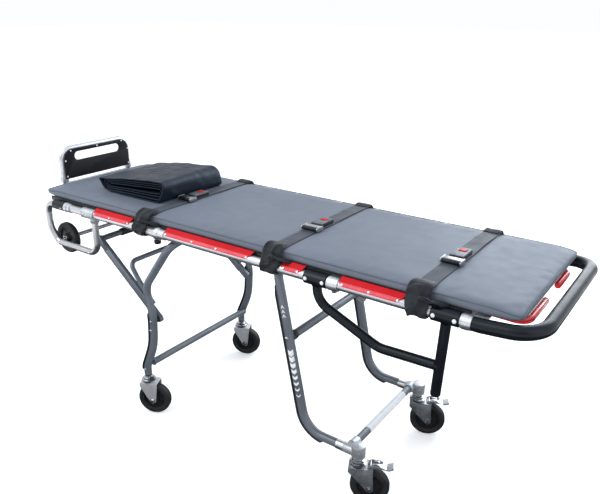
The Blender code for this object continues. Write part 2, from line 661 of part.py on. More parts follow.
def make_front_frame():
    knee_x = front_leg_x(FRONT_FOOT_Z)
    near = [(FRONT_LEG_END_X, -FRONT_FRAME_Y, FRONT_FOOT_Z), (knee_x, -FRONT_FRAME_Y, FRONT_FOOT_Z),
            (FRONT_HINGE_X, -FRONT_FRAME_Y, HINGE_Z)]
    far = [(x, -y, z) for x, y, z in near[::-1]]
    points = rounded_path(near + far, FRONT_BENDS)
    tube("front_leg_frame", points, FRONT_TUBE_R, "grey_paint")
    cope = tube("cut", points, FRONT_TUBE_R + GAP, "grey_paint")
    x = front_leg_x(FRONT_CROSS_Z)
    upper = cylinder("front_upper_cross", FRONT_CROSS_R, (x, -FRONT_FRAME_Y, FRONT_CROSS_Z),
                     (x, FRONT_FRAME_Y, FRONT_CROSS_Z), "grey_paint", 16)
    build(upper, (), (cope,))
    keep_largest(upper)
    make_front_castings()


def make_front_castings():
    """Elbow castings: a socket for the leg, a barrel for the stem and a boss for the cross tube."""
    for side, sign in SIDES:
        y = sign * FRONT_FRAME_Y
        inner = y - sign * CASTING_BOSS_REACH
        body = cylinder("front_casting_" + side, CASTING_R, (FRONT_STEM_X, y, CASTING_ZS[0]),
                        (FRONT_STEM_X, y, CASTING_ZS[1]), "cast_aluminium")
        socket = cylinder("socket", CASTING_BOSS_R, (FRONT_LEG_END_X + GAP, y, FRONT_FOOT_Z),
                          (FRONT_STEM_X, y, FRONT_FOOT_Z), "cast_aluminium")
        boss = cylinder("boss", CASTING_BOSS_R, (FRONT_BAR_X, y, CASTING_BOSS_Z),
                        (FRONT_BAR_X, inner, CASTING_BOSS_Z), "cast_aluminium")
        build(body, (socket, boss))
    reach = FRONT_FRAME_Y - CASTING_BOSS_REACH - GAP
    cylinder("front_lower_cross", CROSS_R, (FRONT_BAR_X, -reach, CASTING_BOSS_Z),
             (FRONT_BAR_X, reach, CASTING_BOSS_Z), "grey_paint", 16)


# ---------------------------------------------------------------- castors
def wheel_profile(radius, width, bore):
    """Half a wheel's section from bore to tread, mirrored: hub, recessed web, rim and tyre."""
    half = width / 2
    side = [(bore, half + 0.001), (bore + 0.010, half + 0.001), (bore + 0.012, half - 0.006),
            (radius * 0.68, half - 0.006), (radius * 0.73, half), (radius * 0.94, half * 0.9),
            (radius, half * 0.40)]
    return side + [(r, -h) for r, h in reversed(side)]


def fork_outline(x, trail, top):
    """Side plate of a fork: broad under the race, narrowing to a round end at the axle."""
    axle_x = x + trail
    outline = [(x - 0.029, top), (x - 0.029, top - FORK_SHOULDER)]
    for k in range(7):
        turn = math.radians(200 + 25 * k)
        outline.append((axle_x + FORK_EYE_R * math.cos(turn), CASTOR_R + FORK_EYE_R * math.sin(turn)))
    outline += [(x + 0.030 + trail * 0.5, top - FORK_SHOULDER), (x + 0.030 + trail * 0.5, top)]
    return outline


def swivelled(part, stem_x, y):
    """Turn a piece about a castor's stem, to its rest direction."""
    stem = Vector((stem_x, y, 0))
    part.data.transform(Matrix.Translation(stem) @ Matrix.Rotation(CASTOR_TURN, 4, "Z")
                        @ Matrix.Translation(-stem))


def make_castor(end, side, sign, stem_x, trail, stem_top):
    """A swivel fork with race and stem, and its wheel."""
    y = sign * CASTOR_Y[end]
    top, inner, outer = FORK_TOP_Z, FORK_INNER, FORK_OUTER
    name = f"{end}_fork_{side}"
    fork = prism(name, fork_outline(stem_x, trail, top), "Y", y - outer, y + outer, "zinc_plate")
    hollow = block("cut", (stem_x - 0.1, y - inner, 0.0), (stem_x + 0.15, y + inner, top - 0.003),
                   "zinc_plate")
    race = revolve("race", [(0.001, top - 0.001), (0.026, top - 0.001), (0.0275, top + 0.004),
                            (0.0275, top + 0.010), (0.021, top + 0.013), (0.021, top + 0.018),
                            (0.0125, top + 0.021), (0.0125, stem_top - GAP),
                            (0.001, stem_top - GAP)],
                   "zinc_plate", "Z", (stem_x, y, 0), 20)
    axle = cylinder("axle", CASTOR_AXLE_R, (stem_x + trail, y - outer - 0.006, CASTOR_R),
                    (stem_x + trail, y + outer + 0.006, CASTOR_R), "zinc_plate", 12)
    build(fork, (), (hollow,))
    build(fork, (race, axle))
    wheel = revolve(f"{end}_wheel_{side}", wheel_profile(CASTOR_R, CASTOR_WIDTH, CASTOR_AXLE_R + GAP),
                    "wheel_rubber", "Y", (stem_x + trail, y, CASTOR_R), 24, True)
    swivelled(fork, stem_x, y)
    swivelled(wheel, stem_x, y)


def make_pedal(side, sign):
    """Brake pedal: a bent plate behind the race, above the fork, with a broad toe."""
    x, y = FRONT_STEM_X, sign * CASTOR_Y["front"]
    under = FORK_TOP_Z + PEDAL_CLEARANCE
    outline = [(x + 0.032, under), (x + 0.072, under), (x + 0.100, under - 0.004),
               (x + 0.112, under + 0.001), (x + 0.114, under + 0.008), (x + 0.102, under + 0.007),
               (x + 0.072, under + 0.011), (x + 0.040, under + 0.011), (x + 0.032, under + 0.005)]
    pedal = prism("brake_pedal_" + side, outline, "Y", y - PEDAL_HALF, y + PEDAL_HALF,
                  "zinc_plate")
    swivelled(pedal, x, y)


def make_castors():
    for side, sign in SIDES:
        make_castor("rear", side, sign, REAR_STEM_X, REAR_TRAIL, LEG_BOTTOM_Z)
        make_castor("front", side, sign, FRONT_STEM_X, FRONT_TRAIL, CASTING_ZS[0])
        make_pedal(side, sign)


def main():
    for old in list(bpy.data.objects):
        bpy.data.objects.remove(old)
    make_rails()
    make_guards()
    make_foot_loop()
    make_head_loops()
    make_loading_wheels()
    make_fastening_post()
    make_panel()
    make_hinge_bearer("rear_hinge_bearer", REAR_HINGE_X, REAR_TUBE_R, LUG_YS["rear"])
    make_hinge_bearer("front_hinge_bearer", FRONT_HINGE_X, FRONT_TUBE_R, LUG_YS["front"])
    make_end_bearers()
    make_levers()
    make_handle()
    make_soft_goods()
    make_straps()
    make_rear_frame()
    make_stay()
    make_front_frame()
    make_castors()


main()
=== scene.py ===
"""Looks of the roll-in stretcher trolley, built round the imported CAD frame.

Metres, +Z up, +X to the foot end, -Y to the near side, as in the frame.
"""
import json
import math

import bmesh
import bpy
from mathutils import Matrix, Quaternion, Vector, noise

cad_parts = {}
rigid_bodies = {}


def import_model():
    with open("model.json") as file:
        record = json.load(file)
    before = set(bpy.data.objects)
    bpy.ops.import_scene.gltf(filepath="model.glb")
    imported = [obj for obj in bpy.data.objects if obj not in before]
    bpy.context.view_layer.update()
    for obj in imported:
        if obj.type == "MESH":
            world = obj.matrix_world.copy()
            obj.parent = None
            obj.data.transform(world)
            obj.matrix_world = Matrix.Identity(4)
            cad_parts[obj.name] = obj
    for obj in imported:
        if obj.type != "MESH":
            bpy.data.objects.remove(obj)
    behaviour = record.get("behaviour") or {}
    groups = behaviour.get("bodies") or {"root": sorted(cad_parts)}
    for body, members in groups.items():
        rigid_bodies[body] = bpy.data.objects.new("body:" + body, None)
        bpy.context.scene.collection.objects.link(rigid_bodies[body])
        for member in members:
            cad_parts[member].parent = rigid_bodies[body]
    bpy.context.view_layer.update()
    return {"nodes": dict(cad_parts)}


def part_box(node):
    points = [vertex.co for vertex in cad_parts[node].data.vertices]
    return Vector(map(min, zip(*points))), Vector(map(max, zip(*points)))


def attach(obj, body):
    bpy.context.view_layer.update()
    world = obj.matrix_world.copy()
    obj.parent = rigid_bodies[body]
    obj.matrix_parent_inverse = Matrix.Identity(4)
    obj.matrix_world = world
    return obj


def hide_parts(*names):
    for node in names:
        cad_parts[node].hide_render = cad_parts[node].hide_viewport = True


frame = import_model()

NODES = frame["nodes"]
SIDES = (("near", -1), ("far", 1))

# ---------------------------------------------------------------- camera
CAMERA_AT = Vector((1.262, -1.648, 1.496))
CAMERA_AZIMUTH = math.radians(35.49)
CAMERA_ELEVATION = math.radians(20.98)
CAMERA_ROLL = math.radians(0.17)
CAMERA_LENS = 38.0


def make_camera():
    a, e = CAMERA_AZIMUTH, CAMERA_ELEVATION
    back = Vector((math.sin(a) * math.cos(e), -math.cos(a) * math.cos(e), math.sin(e)))
    data = bpy.data.cameras.new("camera")
    data.lens = CAMERA_LENS
    data.sensor_width = 36.0
    data.clip_end = 200.0
    camera = bpy.data.objects.new("camera", data)
    bpy.context.scene.collection.objects.link(camera)
    camera.location = CAMERA_AT
    camera.rotation_mode = "QUATERNION"
    turn = Quaternion((0, 0, 1), CAMERA_ROLL)
    camera.rotation_quaternion = (-back).to_track_quat("-Z", "Y") @ turn
    bpy.context.scene.camera = camera


# ---------------------------------------------------------------- materials
class Nodes:
    """A small builder round one material's node tree."""

    def __init__(self, name):
        self.material = bpy.data.materials.new(name)
        self.material.use_nodes = True
        self.tree = self.material.node_tree
        self.shader = self.tree.nodes["Principled BSDF"]
        self.place = self.add("ShaderNodeTexCoord").outputs["Object"]

    def add(self, kind, **fields):
        node = self.tree.nodes.new(kind)
        for field, value in fields.items():
            setattr(node, field, value)
        return node

    def link(self, source, socket):
        self.tree.links.new(source, socket)

    def scaled(self, stretch):
        node = self.add("ShaderNodeMapping")
        self.link(self.place, node.inputs["Vector"])
        node.inputs["Scale"].default_value = stretch
        return node.outputs["Vector"]

    def pattern(self, kind, scale, stretch=(1, 1, 1), detail=3.0):
        """A height or mask: noise, the edges of cells, or dots."""
        vector = self.scaled(stretch)
        if kind == "noise":
            node = self.add("ShaderNodeTexNoise")
            node.inputs["Detail"].default_value = detail
            out = node.outputs["Fac"]
        else:
            feature = {"cells": "DISTANCE_TO_EDGE", "dots": "F1"}[kind]
            node = self.add("ShaderNodeTexVoronoi", feature=feature)
            out = node.outputs["Distance"]
        node.inputs["Scale"].default_value = scale
        self.link(vector, node.inputs["Vector"])
        return out

    def ramp(self, value, low, high, span=(0.3, 0.7)):
        node = self.add("ShaderNodeMapRange")
        self.link(value, node.inputs["Value"])
        node.inputs["From Min"].default_value = span[0]
        node.inputs["From Max"].default_value = span[1]
        node.inputs["To Min"].default_value = low
        node.inputs["To Max"].default_value = high
        return node.outputs["Result"]

    def blend(self, mask, one, two):
        node = self.add("ShaderNodeMix", data_type="RGBA")
        self.link(mask, node.inputs["Factor"])
        for socket, value in ((node.inputs[6], one), (node.inputs[7], two)):
            if isinstance(value, tuple):
                socket.default_value = (*value, 1.0)
            else:
                self.link(value, socket)
        return node.outputs[2]


MATERIALS = {}


def finish(name, tones, roughness, metallic=0.0, tone_scale=9.0, tone_stretch=(1, 1, 1),
           speckle=None, grain=(), rough_scale=25.0, **sockets):
    """Add a Principled finish to MATERIALS.

    tones are the darker and lighter colour of its slow variation, roughness its two limits, and
    grain a list of (pattern, scale, depth in metres, stretch) that become bump.
    """
    n = Nodes(name)
    colour = n.blend(n.ramp(n.pattern("noise", tone_scale, tone_stretch), 0.0, 1.0), *tones)
    if speckle:
        tint, scale, share = speckle
        mask = n.ramp(n.pattern("noise", scale), 0.0, share, (0.56, 0.66))
        colour = n.blend(mask, colour, tint)
    n.link(colour, n.shader.inputs["Base Color"])
    wear = n.pattern("noise", rough_scale, tone_stretch, 5.0)
    n.link(n.ramp(wear, *roughness), n.shader.inputs["Roughness"])
    normal = None
    for kind, scale, depth, stretch in grain:
        bump = n.add("ShaderNodeBump")
        bump.inputs["Strength"].default_value = 1.0
        bump.inputs["Distance"].default_value = depth
        n.link(n.pattern(kind, scale, stretch), bump.inputs["Height"])
        if normal:
            n.link(normal, bump.inputs["Normal"])
        normal = bump.outputs["Normal"]
    if normal:
        n.link(normal, n.shader.inputs["Normal"])
    n.shader.inputs["Metallic"].default_value = metallic
    for socket, value in sockets.items():
        n.shader.inputs[socket.replace("_", " ")].default_value = value
    MATERIALS[name] = n.material


EVEN = (1, 1, 1)
ALONG_X = (0.04, 1, 1)
finish("aluminium", ((0.60, 0.61, 0.63), (0.74, 0.75, 0.76)), (0.30, 0.42), 1.0,
       tone_scale=40, tone_stretch=ALONG_X, grain=[("noise", 14, 0.0002, EVEN)])
finish("tube_aluminium", ((0.50, 0.50, 0.50), (0.62, 0.62, 0.62)),
       (0.26, 0.40), 1.0, tone_scale=14, grain=[("noise", 20, 0.0002, EVEN)])
finish("sheet_aluminium", ((0.50, 0.51, 0.52), (0.62, 0.63, 0.64)),
       (0.35, 0.5), 1.0, tone_scale=6, tone_stretch=ALONG_X,
       grain=[("noise", 600, 0.00003, ALONG_X)])
finish("cast", ((0.50, 0.52, 0.54), (0.62, 0.64, 0.66)), (0.38, 0.52), 0.85,
       tone_scale=30, grain=[("noise", 90, 0.0002, EVEN)])
finish("zinc", ((0.60, 0.61, 0.62), (0.80, 0.80, 0.81)), (0.20, 0.36), 1.0,
       tone_scale=60, speckle=((0.42, 0.43, 0.44), 140, 0.5))
finish("satin_steel", ((0.66, 0.67, 0.68), (0.76, 0.77, 0.78)), (0.36, 0.50),
       0.75, tone_scale=30, speckle=((0.55, 0.56, 0.57), 120, 0.4))
finish("fork_steel", ((0.30, 0.31, 0.32), (0.50, 0.51, 0.52)), (0.30, 0.50), 0.9,
       tone_scale=45, speckle=((0.20, 0.21, 0.22), 160, 0.6),
       grain=[("noise", 420, 0.00010, EVEN)])
finish("chrome", ((0.44, 0.45, 0.46), (0.58, 0.59, 0.60)), (0.10, 0.20), 1.0,
       tone_scale=50)
finish("grey_coat", ((0.107, 0.122, 0.142), (0.143, 0.160, 0.184)), (0.34, 0.46),
       0.35, tone_scale=11, speckle=((0.24, 0.265, 0.30), 1500, 0.7),
       grain=[("noise", 650, 0.00006, EVEN)],
       Coat_Weight=0.25, Coat_Roughness=0.22)
finish("black_coat", ((0.002, 0.0025, 0.004), (0.004, 0.005, 0.007)),
       (0.30, 0.40), tone_scale=9, speckle=((0.012, 0.014, 0.018), 1300, 0.4),
       grain=[("noise", 520, 0.00005, EVEN)], Specular_IOR_Level=0.34,
       Specular_Tint=(0.82, 0.91, 1.0, 1.0))
finish("black_plate", ((0.003, 0.004, 0.006), (0.006, 0.007, 0.010)),
       (0.38, 0.5), tone_scale=12, grain=[("noise", 800, 0.00006, EVEN)],
       Specular_IOR_Level=0.25)
finish("plastic", ((0.004, 0.0045, 0.006), (0.008, 0.009, 0.011)), (0.32, 0.46),
       tone_scale=40, grain=[("noise", 1500, 0.00006, EVEN)],
       Specular_IOR_Level=0.35)
finish("strip", ((0.007, 0.007, 0.008), (0.013, 0.013, 0.014)), (0.45, 0.62),
       tone_scale=30, grain=[("noise", 900, 0.0001, EVEN)])
finish("rubber", ((0.007, 0.007, 0.008), (0.015, 0.015, 0.016)), (0.50, 0.70),
       tone_scale=35, speckle=((0.045, 0.043, 0.040), 260, 0.35),
       grain=[("noise", 900, 0.0001, EVEN)])
finish("hub", ((0.006, 0.006, 0.007), (0.011, 0.011, 0.012)), (0.35, 0.5),
       tone_scale=50, grain=[("noise", 1200, 0.00006, EVEN)])
finish("guard", ((0.54, 0.003, 0.008), (0.63, 0.007, 0.013)), (0.40, 0.52),
       tone_scale=16, grain=[("dots", 620, 0.00020, EVEN)], Specular_IOR_Level=0.15)
# The guard's lower band: its paler pinkish tones and speckle are painted reflection; the dots are
# its grip texture.
finish("guard_painted_reflection", ((0.64, 0.020, 0.038), (0.73, 0.050, 0.075)), (0.30, 0.42),
       tone_scale=30, speckle=((0.84, 0.26, 0.30), 420, 0.6),
       grain=[("dots", 520, 0.00030, EVEN)])
finish("rivet", ((0.80, 0.80, 0.80), (0.90, 0.90, 0.90)), (0.25, 0.40), 0.35,
       tone_scale=90, grain=[("noise", 700, 0.00003, EVEN)])
# Buckle cheeks and end caps, and the bright bar on the adjuster's top that is a painted highlight
finish("buckle_metal_and_highlight", ((0.34, 0.35, 0.37), (0.46, 0.47, 0.49)), (0.24, 0.38),
       1.0, tone_scale=90)
finish("buckle_plate", ((0.13, 0.14, 0.155), (0.20, 0.21, 0.23)), (0.42, 0.55),
       0.7, tone_scale=90)
finish("lever", ((0.56, 0.008, 0.012), (0.68, 0.012, 0.018)), (0.20, 0.32),
       tone_scale=18, grain=[("noise", 120, 0.0003, EVEN)], Coat_Weight=0.4,
       Coat_Roughness=0.12)
finish("button", ((0.42, 0.006, 0.008), (0.55, 0.010, 0.012)), (0.35, 0.48),
       tone_scale=80, grain=[("noise", 1500, 0.00004, EVEN)],
       Specular_IOR_Level=0.2)
finish("vinyl", ((0.136, 0.157, 0.192), (0.160, 0.184, 0.223)), (0.50, 0.60),
       tone_scale=3.0, speckle=((0.190, 0.222, 0.275), 420, 0.35),
       grain=[("cells", 520, 0.00022, EVEN), ("noise", 12, 0.0010, (0.8, 1.1, 1)),
              ("noise", 3.2, 0.004, (0.7, 1.2, 1))],
       Specular_IOR_Level=0.28)
finish("piping", ((0.095, 0.113, 0.143), (0.120, 0.141, 0.176)), (0.46, 0.58),
       tone_scale=20, grain=[("noise", 700, 0.00015, EVEN)],
       Specular_IOR_Level=0.25)
finish("cover", ((0.0065, 0.0115, 0.021), (0.0100, 0.0165, 0.029)), (0.44, 0.58),
       tone_scale=8, speckle=((0.022, 0.030, 0.046), 500, 0.4),
       grain=[("cells", 700, 0.00016, EVEN), ("noise", 30, 0.0008, EVEN)],
       Specular_IOR_Level=0.28, Specular_Tint=(0.65, 0.82, 1.0, 1.0))
finish("wrap", ((0.006, 0.008, 0.011), (0.012, 0.015, 0.019)), (0.50, 0.66),
       tone_scale=25, grain=[("noise", 1100, 0.0002, EVEN)],
       Specular_IOR_Level=0.30, Sheen_Weight=0.12, Sheen_Roughness=0.4)
finish("webbing", ((0.034, 0.042, 0.055), (0.048, 0.058, 0.075)), (0.50, 0.66),
       tone_scale=18,
       Specular_IOR_Level=0.30, Sheen_Weight=0.15, Sheen_Roughness=0.4)
finish("white_tape", ((0.64, 0.66, 0.68), (0.73, 0.75, 0.77)), (0.22, 0.36),
       tone_scale=30, grain=[("cells", 300, 0.00008, EVEN)])
finish("decal", ((0.72, 0.73, 0.74), (0.84, 0.85, 0.86)), (0.35, 0.45),
       tone_scale=60, grain=[("noise", 900, 0.00004, EVEN)])
finish("tag", ((0.50, 0.02, 0.02), (0.62, 0.03, 0.03)), (0.3, 0.45), tone_scale=60,
       grain=[("noise", 900, 0.00006, EVEN)])


# ---------------------------------------------------------------- mesh helpers
def piece(name, bm, surface, body, replaces=(), angle=35):
    """Turn a bmesh into a piece that rides on a body."""
    bmesh.ops.remove_doubles(bm, verts=bm.verts, dist=1e-6)
    bmesh.ops.recalc_face_normals(bm, faces=bm.faces)
    mesh = bpy.data.meshes.new(name)
    bm.to_mesh(mesh)
    bm.free()
    mesh.shade_smooth()
    mesh.set_sharp_from_angle(angle=math.radians(angle))
    mesh.materials.append(MATERIALS[surface])
    made = bpy.data.objects.new(name, mesh)
    bpy.context.scene.collection.objects.link(made)
    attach(made, body)
    if replaces:
        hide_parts(*replaces)
    return made


def merge(bm, part):
    """Add one bmesh to another."""
    mesh = bpy.data.meshes.new("part")
    part.to_mesh(mesh)
    part.free()
    bm.from_mesh(mesh)
    bpy.data.meshes.remove(mesh)


def rounded_path(corners, radii, step_deg=5.0):
    """Points along a polyline whose inner corners are arcs of the given radii."""
    corners = [Vector(c) for c in corners]
    points = [corners[0]]
    for before, corner, after, radius in zip(corners, corners[1:], corners[2:], radii):
        to_before = (before - corner).normalized()
        to_after = (after - corner).normalized()
        opening = to_before.angle(to_after)
        turn = math.pi - opening
        reach = radius / math.tan(opening / 2)
        middle = corner + (to_before + to_after).normalized() * (radius / math.sin(opening / 2))
        spoke = corner + to_before * reach - middle
        normal = to_before.cross(to_after).normalized()
        steps = max(2, math.ceil(math.degrees(turn) / step_deg))
        for i in range(steps + 1):
            points.append(middle + Matrix.Rotation(-turn * i / steps, 3, normal) @ spoke)
    points.append(corners[-1])
    return points


def frames_along(points):
    """For each point: the point and two directions across the path."""
    points = [Vector(p) for p in points]
    ahead = [(b - a).normalized() for a, b in zip(points, points[1:])]
    across = ahead[0].orthogonal().normalized()
    made = []
    for i, point in enumerate(points):
        before = ahead[max(i - 1, 0)]
        after = ahead[min(i, len(ahead) - 1)]
        along = (before + after).normalized()
        across = (across - along * across.dot(along)).normalized()
        made.append((point, across.copy(), along.cross(across)))
    return made


def add_tube(bm, points, radius, sides=36):
    """A round tube; radius is a number or one per point."""
    rings = []
    for i, (point, one, two) in enumerate(frames_along(points)):
        r = radius[i] if hasattr(radius, "__len__") else radius
        rings.append([bm.verts.new(point + (one * math.cos(2 * math.pi * k / sides)
                                            + two * math.sin(2 * math.pi * k / sides)) * r)
                      for k in range(sides)])
    for low, high in zip(rings, rings[1:]):
        for k in range(sides):
            nxt = (k + 1) % sides
            bm.faces.new((low[k], low[nxt], high[nxt], high[k]))
    bm.faces.new(rings[0][::-1])
    bm.faces.new(rings[-1])


def axis_matrix(axis, at=(0, 0, 0)):
    """Turns +Z to an axis given by name or vector, and moves to a point."""
    named = {"X": Vector((1, 0, 0)), "Y": Vector((0, 1, 0)), "Z": Vector((0, 0, 1))}
    direction = named[axis] if isinstance(axis, str) else Vector(axis)
    return Matrix.Translation(at) @ direction.to_track_quat("Z", "Y").to_matrix().to_4x4()


def add_turned(bm, profile, axis="Z", at=(0, 0, 0), sides=36):
    """Turn (radius, height) points about an axis; a radius of 0 closes the end."""
    place = axis_matrix(axis, at)
    rings = []
    for radius, height in profile:
        count = sides if radius > 1e-7 else 1
        rings.append([bm.verts.new(place @ Vector((radius * math.cos(2 * math.pi * k / sides),
                                                   radius * math.sin(2 * math.pi * k / sides),
                                                   height))) for k in range(count)])
    for low, high in zip(rings, rings[1:]):
        for k in range(sides):
            nxt = (k + 1) % sides
            corners = [low[k % len(low)], low[nxt % len(low)], high[nxt % len(high)],
                       high[k % len(high)]]
            unique = list(dict.fromkeys(corners))
            if len(unique) > 2:
                bm.faces.new(unique)
    for ring in (rings[0], rings[-1]):
        if len(ring) > 1 and profile[0] != profile[-1]:
            bm.faces.new(ring)


def rod_profile(radius, low, high, edge=0.0012):
    """A bar's section with softened ends."""
    return [(0, low), (radius - edge, low), (radius - edge * 0.3, low + edge * 0.3),
            (radius, low + edge), (radius, high - edge), (radius - edge * 0.3, high - edge * 0.3),
            (radius - edge, high), (0, high)]


def add_rod(bm, radius, start, end, edge=0.0012, sides=36):
    start, end = Vector(start), Vector(end)
    add_turned(bm, rod_profile(radius, 0.0, (end - start).length, edge), end - start, start, sides)


def add_sleeve(bm, inner, outer, start, end, edge=0.001, sides=36):
    """A ring round a tube, with a wall and softened edges."""
    start, end = Vector(start), Vector(end)
    high = (end - start).length
    profile = [(inner, 0), (outer - edge, 0), (outer, edge), (outer, high - edge),
               (outer - edge, high), (inner, high), (inner, 0)]
    add_turned(bm, profile, end - start, start, sides)


def add_dome(bm, at, direction, radius, height, sides=20):
    """A rivet or bolt head."""
    profile = [(radius, -0.0008), (radius, height * 0.15)]
    profile += [(radius * math.cos(a), height * (0.15 + 0.85 * math.sin(a)))
                for a in (math.radians(d) for d in (20, 40, 60, 78))]
    add_turned(bm, [(0, -0.0008)] + profile + [(0, height)], direction, at, sides)


def add_slab(bm, outline, axis, low, high, bevel=0.0, segments=2):
    """Extrude an outline: (x, z) along Y, (y, z) along X, (x, y) along Z; edges may be softened."""
    order = {"Y": lambda a, b, c: (a, c, b), "X": lambda a, b, c: (c, a, b),
             "Z": lambda a, b, c: (a, b, c)}[axis]
    part = bmesh.new()
    face = part.faces.new([part.verts.new(order(a, b, low)) for a, b in outline])
    grown = bmesh.ops.extrude_face_region(part, geom=[face])["geom"]
    moved = [v for v in grown if isinstance(v, bmesh.types.BMVert)]
    bmesh.ops.translate(part, verts=moved, vec=Vector(order(0, 0, high - low)))
    if bevel:
        rims = [e for e in part.edges if len(e.link_faces) == 2
                and e.calc_face_angle(0) > math.radians(40)]
        bmesh.ops.bevel(part, geom=rims, offset=bevel, segments=segments, profile=0.5,
                        affect="EDGES", clamp_overlap=True)
    merge(bm, part)


def add_box(bm, low, high, bevel=0.0015, segments=2):
    outline = [(low[0], low[1]), (high[0], low[1]), (high[0], high[1]), (low[0], high[1])]
    add_slab(bm, outline, "Z", low[2], high[2], bevel, segments)


def rounded_outline(low, high, radius, steps=8):
    """A rectangle with round corners, counter-clockwise."""
    outline = []
    for i, (cx, cy) in enumerate(((high[0], high[1]), (low[0], high[1]), (low[0], low[1]),
                                  (high[0], low[1]))):
        mx = cx - radius if cx == high[0] else cx + radius
        my = cy - radius if cy == high[1] else cy + radius
        for k in range(steps + 1):
            turn = math.pi / 2 * (i + k / steps)
            outline.append((mx + radius * math.cos(turn), my + radius * math.sin(turn)))
    return outline


def wobble(point, scale, seed=0.0):
    """Smooth noise from about -1 to 1."""
    return noise.noise(Vector(point) * scale + Vector((seed, seed * 1.7, seed * 0.6)))


def close_sheet(bm, over, under):
    """Join two matching grids of vertices into one closed sheet."""
    for grid in (over, under):
        for low, high in zip(grid, grid[1:]):
            for k in range(len(low) - 1):
                bm.faces.new((low[k], low[k + 1], high[k + 1], high[k]))
    for one, two in ((over[0], under[0]), (over[-1], under[-1]),
                     ([r[0] for r in over], [r[0] for r in under]),
                     ([r[-1] for r in over], [r[-1] for r in under])):
        for k in range(len(one) - 1):
            bm.faces.new((one[k], one[k + 1], two[k + 1], two[k]))


# ---------------------------------------------------------------- deck tubes and castings
RAIL_Y, RAIL_Z, RAIL_R = 0.279, 0.768, 0.0150
RAIL_HEAD_X, RAIL_FOOT_X = -0.8815, 0.8060
LOOP_R = 0.0125
TEE_X = -0.6485
TEE_SPAN = (-0.7050, -0.6375)
LOOP_LEFT_X, LOOP_BOTTOM_Z = -0.936, 0.611
POST_X, POST_R, POST_BOTTOM = 0.7355, 0.0138, 0.527
# start, end and rivets of each guard
GUARDS = ((-0.637, -0.435, (-0.630, -0.545, -0.447)),
          (-0.265, 0.110, (-0.255, -0.135, -0.030, 0.094)),
          (0.224, 0.302, (0.235, 0.285)),
          (0.424, 0.622, (0.436, 0.520, 0.606)))


def make_rails():
    for side, sign in SIDES:
        bm = bmesh.new()
        y = sign * RAIL_Y
        add_rod(bm, RAIL_R, (RAIL_HEAD_X, y, RAIL_Z), (RAIL_FOOT_X, y, RAIL_Z), sides=48)
        piece("rail_tube_" + side, bm, "aluminium", "deck", ("rail_" + side,))


GUARD_R, GUARD_BACK = 0.0178, 0.0153
GUARD_ARC = (19, 66)             # degrees up the rail's outer side
GUARD_TOP = (0.2715, 0.7955)     # |y| and z of the flange's top
RIVET_ARC = 38                   # degrees up the rail's side
POP_RIVET = [(0, -0.001), (0.0034, -0.001), (0.0034, 0.0005), (0.0030, 0.0011),
             (0.0015, 0.0013), (0.0012, 0.0007), (0, 0.0007)]


def guard_profile():
    """A guard's outer line as (|y|, z, height share), from low edge to the flange's top."""
    line = []
    for k in range(13):
        a = math.radians(GUARD_ARC[0] + (GUARD_ARC[1] - GUARD_ARC[0]) * k / 12)
        line.append((RAIL_Y + GUARD_R * math.cos(a), RAIL_Z + GUARD_R * math.sin(a)))
    y, z = line[-1]
    line += [(y + (GUARD_TOP[0] - y) * k / 6, z + (GUARD_TOP[1] - z) * k / 6) for k in range(1, 7)]
    return [(y, z, k / (len(line) - 1)) for k, (y, z) in enumerate(line)]


def guard_sheet(start, end, sign, lift, thick, first=0, last=None):
    """A strip along a guard's profile whose ends slant towards the mattress."""
    bm = bmesh.new()
    profile = guard_profile()[first:last]
    count = max(6, round((end - start) / 0.010))
    over, under = [], []
    for k, (y, z, share) in enumerate(profile):
        x0 = start + 0.012 * (1 - share) ** 3
        x1 = end - 0.020 * (1 - share) ** 1.3
        before, after = profile[max(k - 1, 0)], profile[min(k + 1, len(profile) - 1)]
        out = Vector((after[1] - before[1], before[0] - after[0])).normalized()
        drop = 0.0010 if k in (0, len(profile) - 1) else 0.0
        for rows, level in ((over, lift - drop), (under, lift - thick)):
            rows.append([bm.verts.new((x0 + (x1 - x0) * i / count,
                                       sign * (y + out.x * (level - (0.0010 if i in (0, count) and
                                                                     rows is over else 0.0))),
                                       z + out.y * level)) for i in range(count + 1)])
    close_sheet(bm, over, under)
    return bm


def make_guards():
    """Red strips with slanted ends on each rail's outer side, and a paler pinkish band on the lower
    arc: painted reflection.
    """
    for side, sign in SIDES:
        for number, (start, end, rivets) in enumerate(GUARDS, 1):
            bm = guard_sheet(start, end, sign, 0.0, GUARD_R - GUARD_BACK)
            piece(f"guard_{side}_{number}", bm, "guard", "deck",
                  (f"rail_guard_{side}_{number}",))
            # A thin paler sheet over the guard's lower arc, its pinkish colour a painted reflection
            bm = guard_sheet(start + 0.002, end - 0.003, sign, 0.0003, 0.0002, 1, 12)
            piece(f"guard_band_{side}_{number}", bm, "guard_painted_reflection", "deck")
            bm = bmesh.new()
            angle = math.radians(RIVET_ARC)
            out = Vector((0, sign * math.cos(angle), math.sin(angle)))
            for x in rivets:
                at = Vector((x, sign * RAIL_Y, RAIL_Z)) + out * (GUARD_R - 0.0002)
                add_turned(bm, POP_RIVET, out, at, 18)
            piece(f"guard_rivets_{side}_{number}", bm, "rivet", "deck")


def make_foot_loop():
    start = RAIL_FOOT_X + 0.0003
    bar_x, bar_z, radius, bend = 0.968, 0.780, 0.0190, 0.075
    corners = [(start, -RAIL_Y, RAIL_Z), (start + 0.02, -RAIL_Y, RAIL_Z),
               (bar_x, -RAIL_Y, bar_z), (bar_x, RAIL_Y, bar_z),
               (start + 0.02, RAIL_Y, RAIL_Z), (start, RAIL_Y, RAIL_Z)]
    bm = bmesh.new()
    add_tube(bm, rounded_path(corners, (0.05, bend, bend, 0.05), 4), radius, 48)
    piece("foot_loop_tube", bm, "black_coat", "deck", ("foot_loop",))


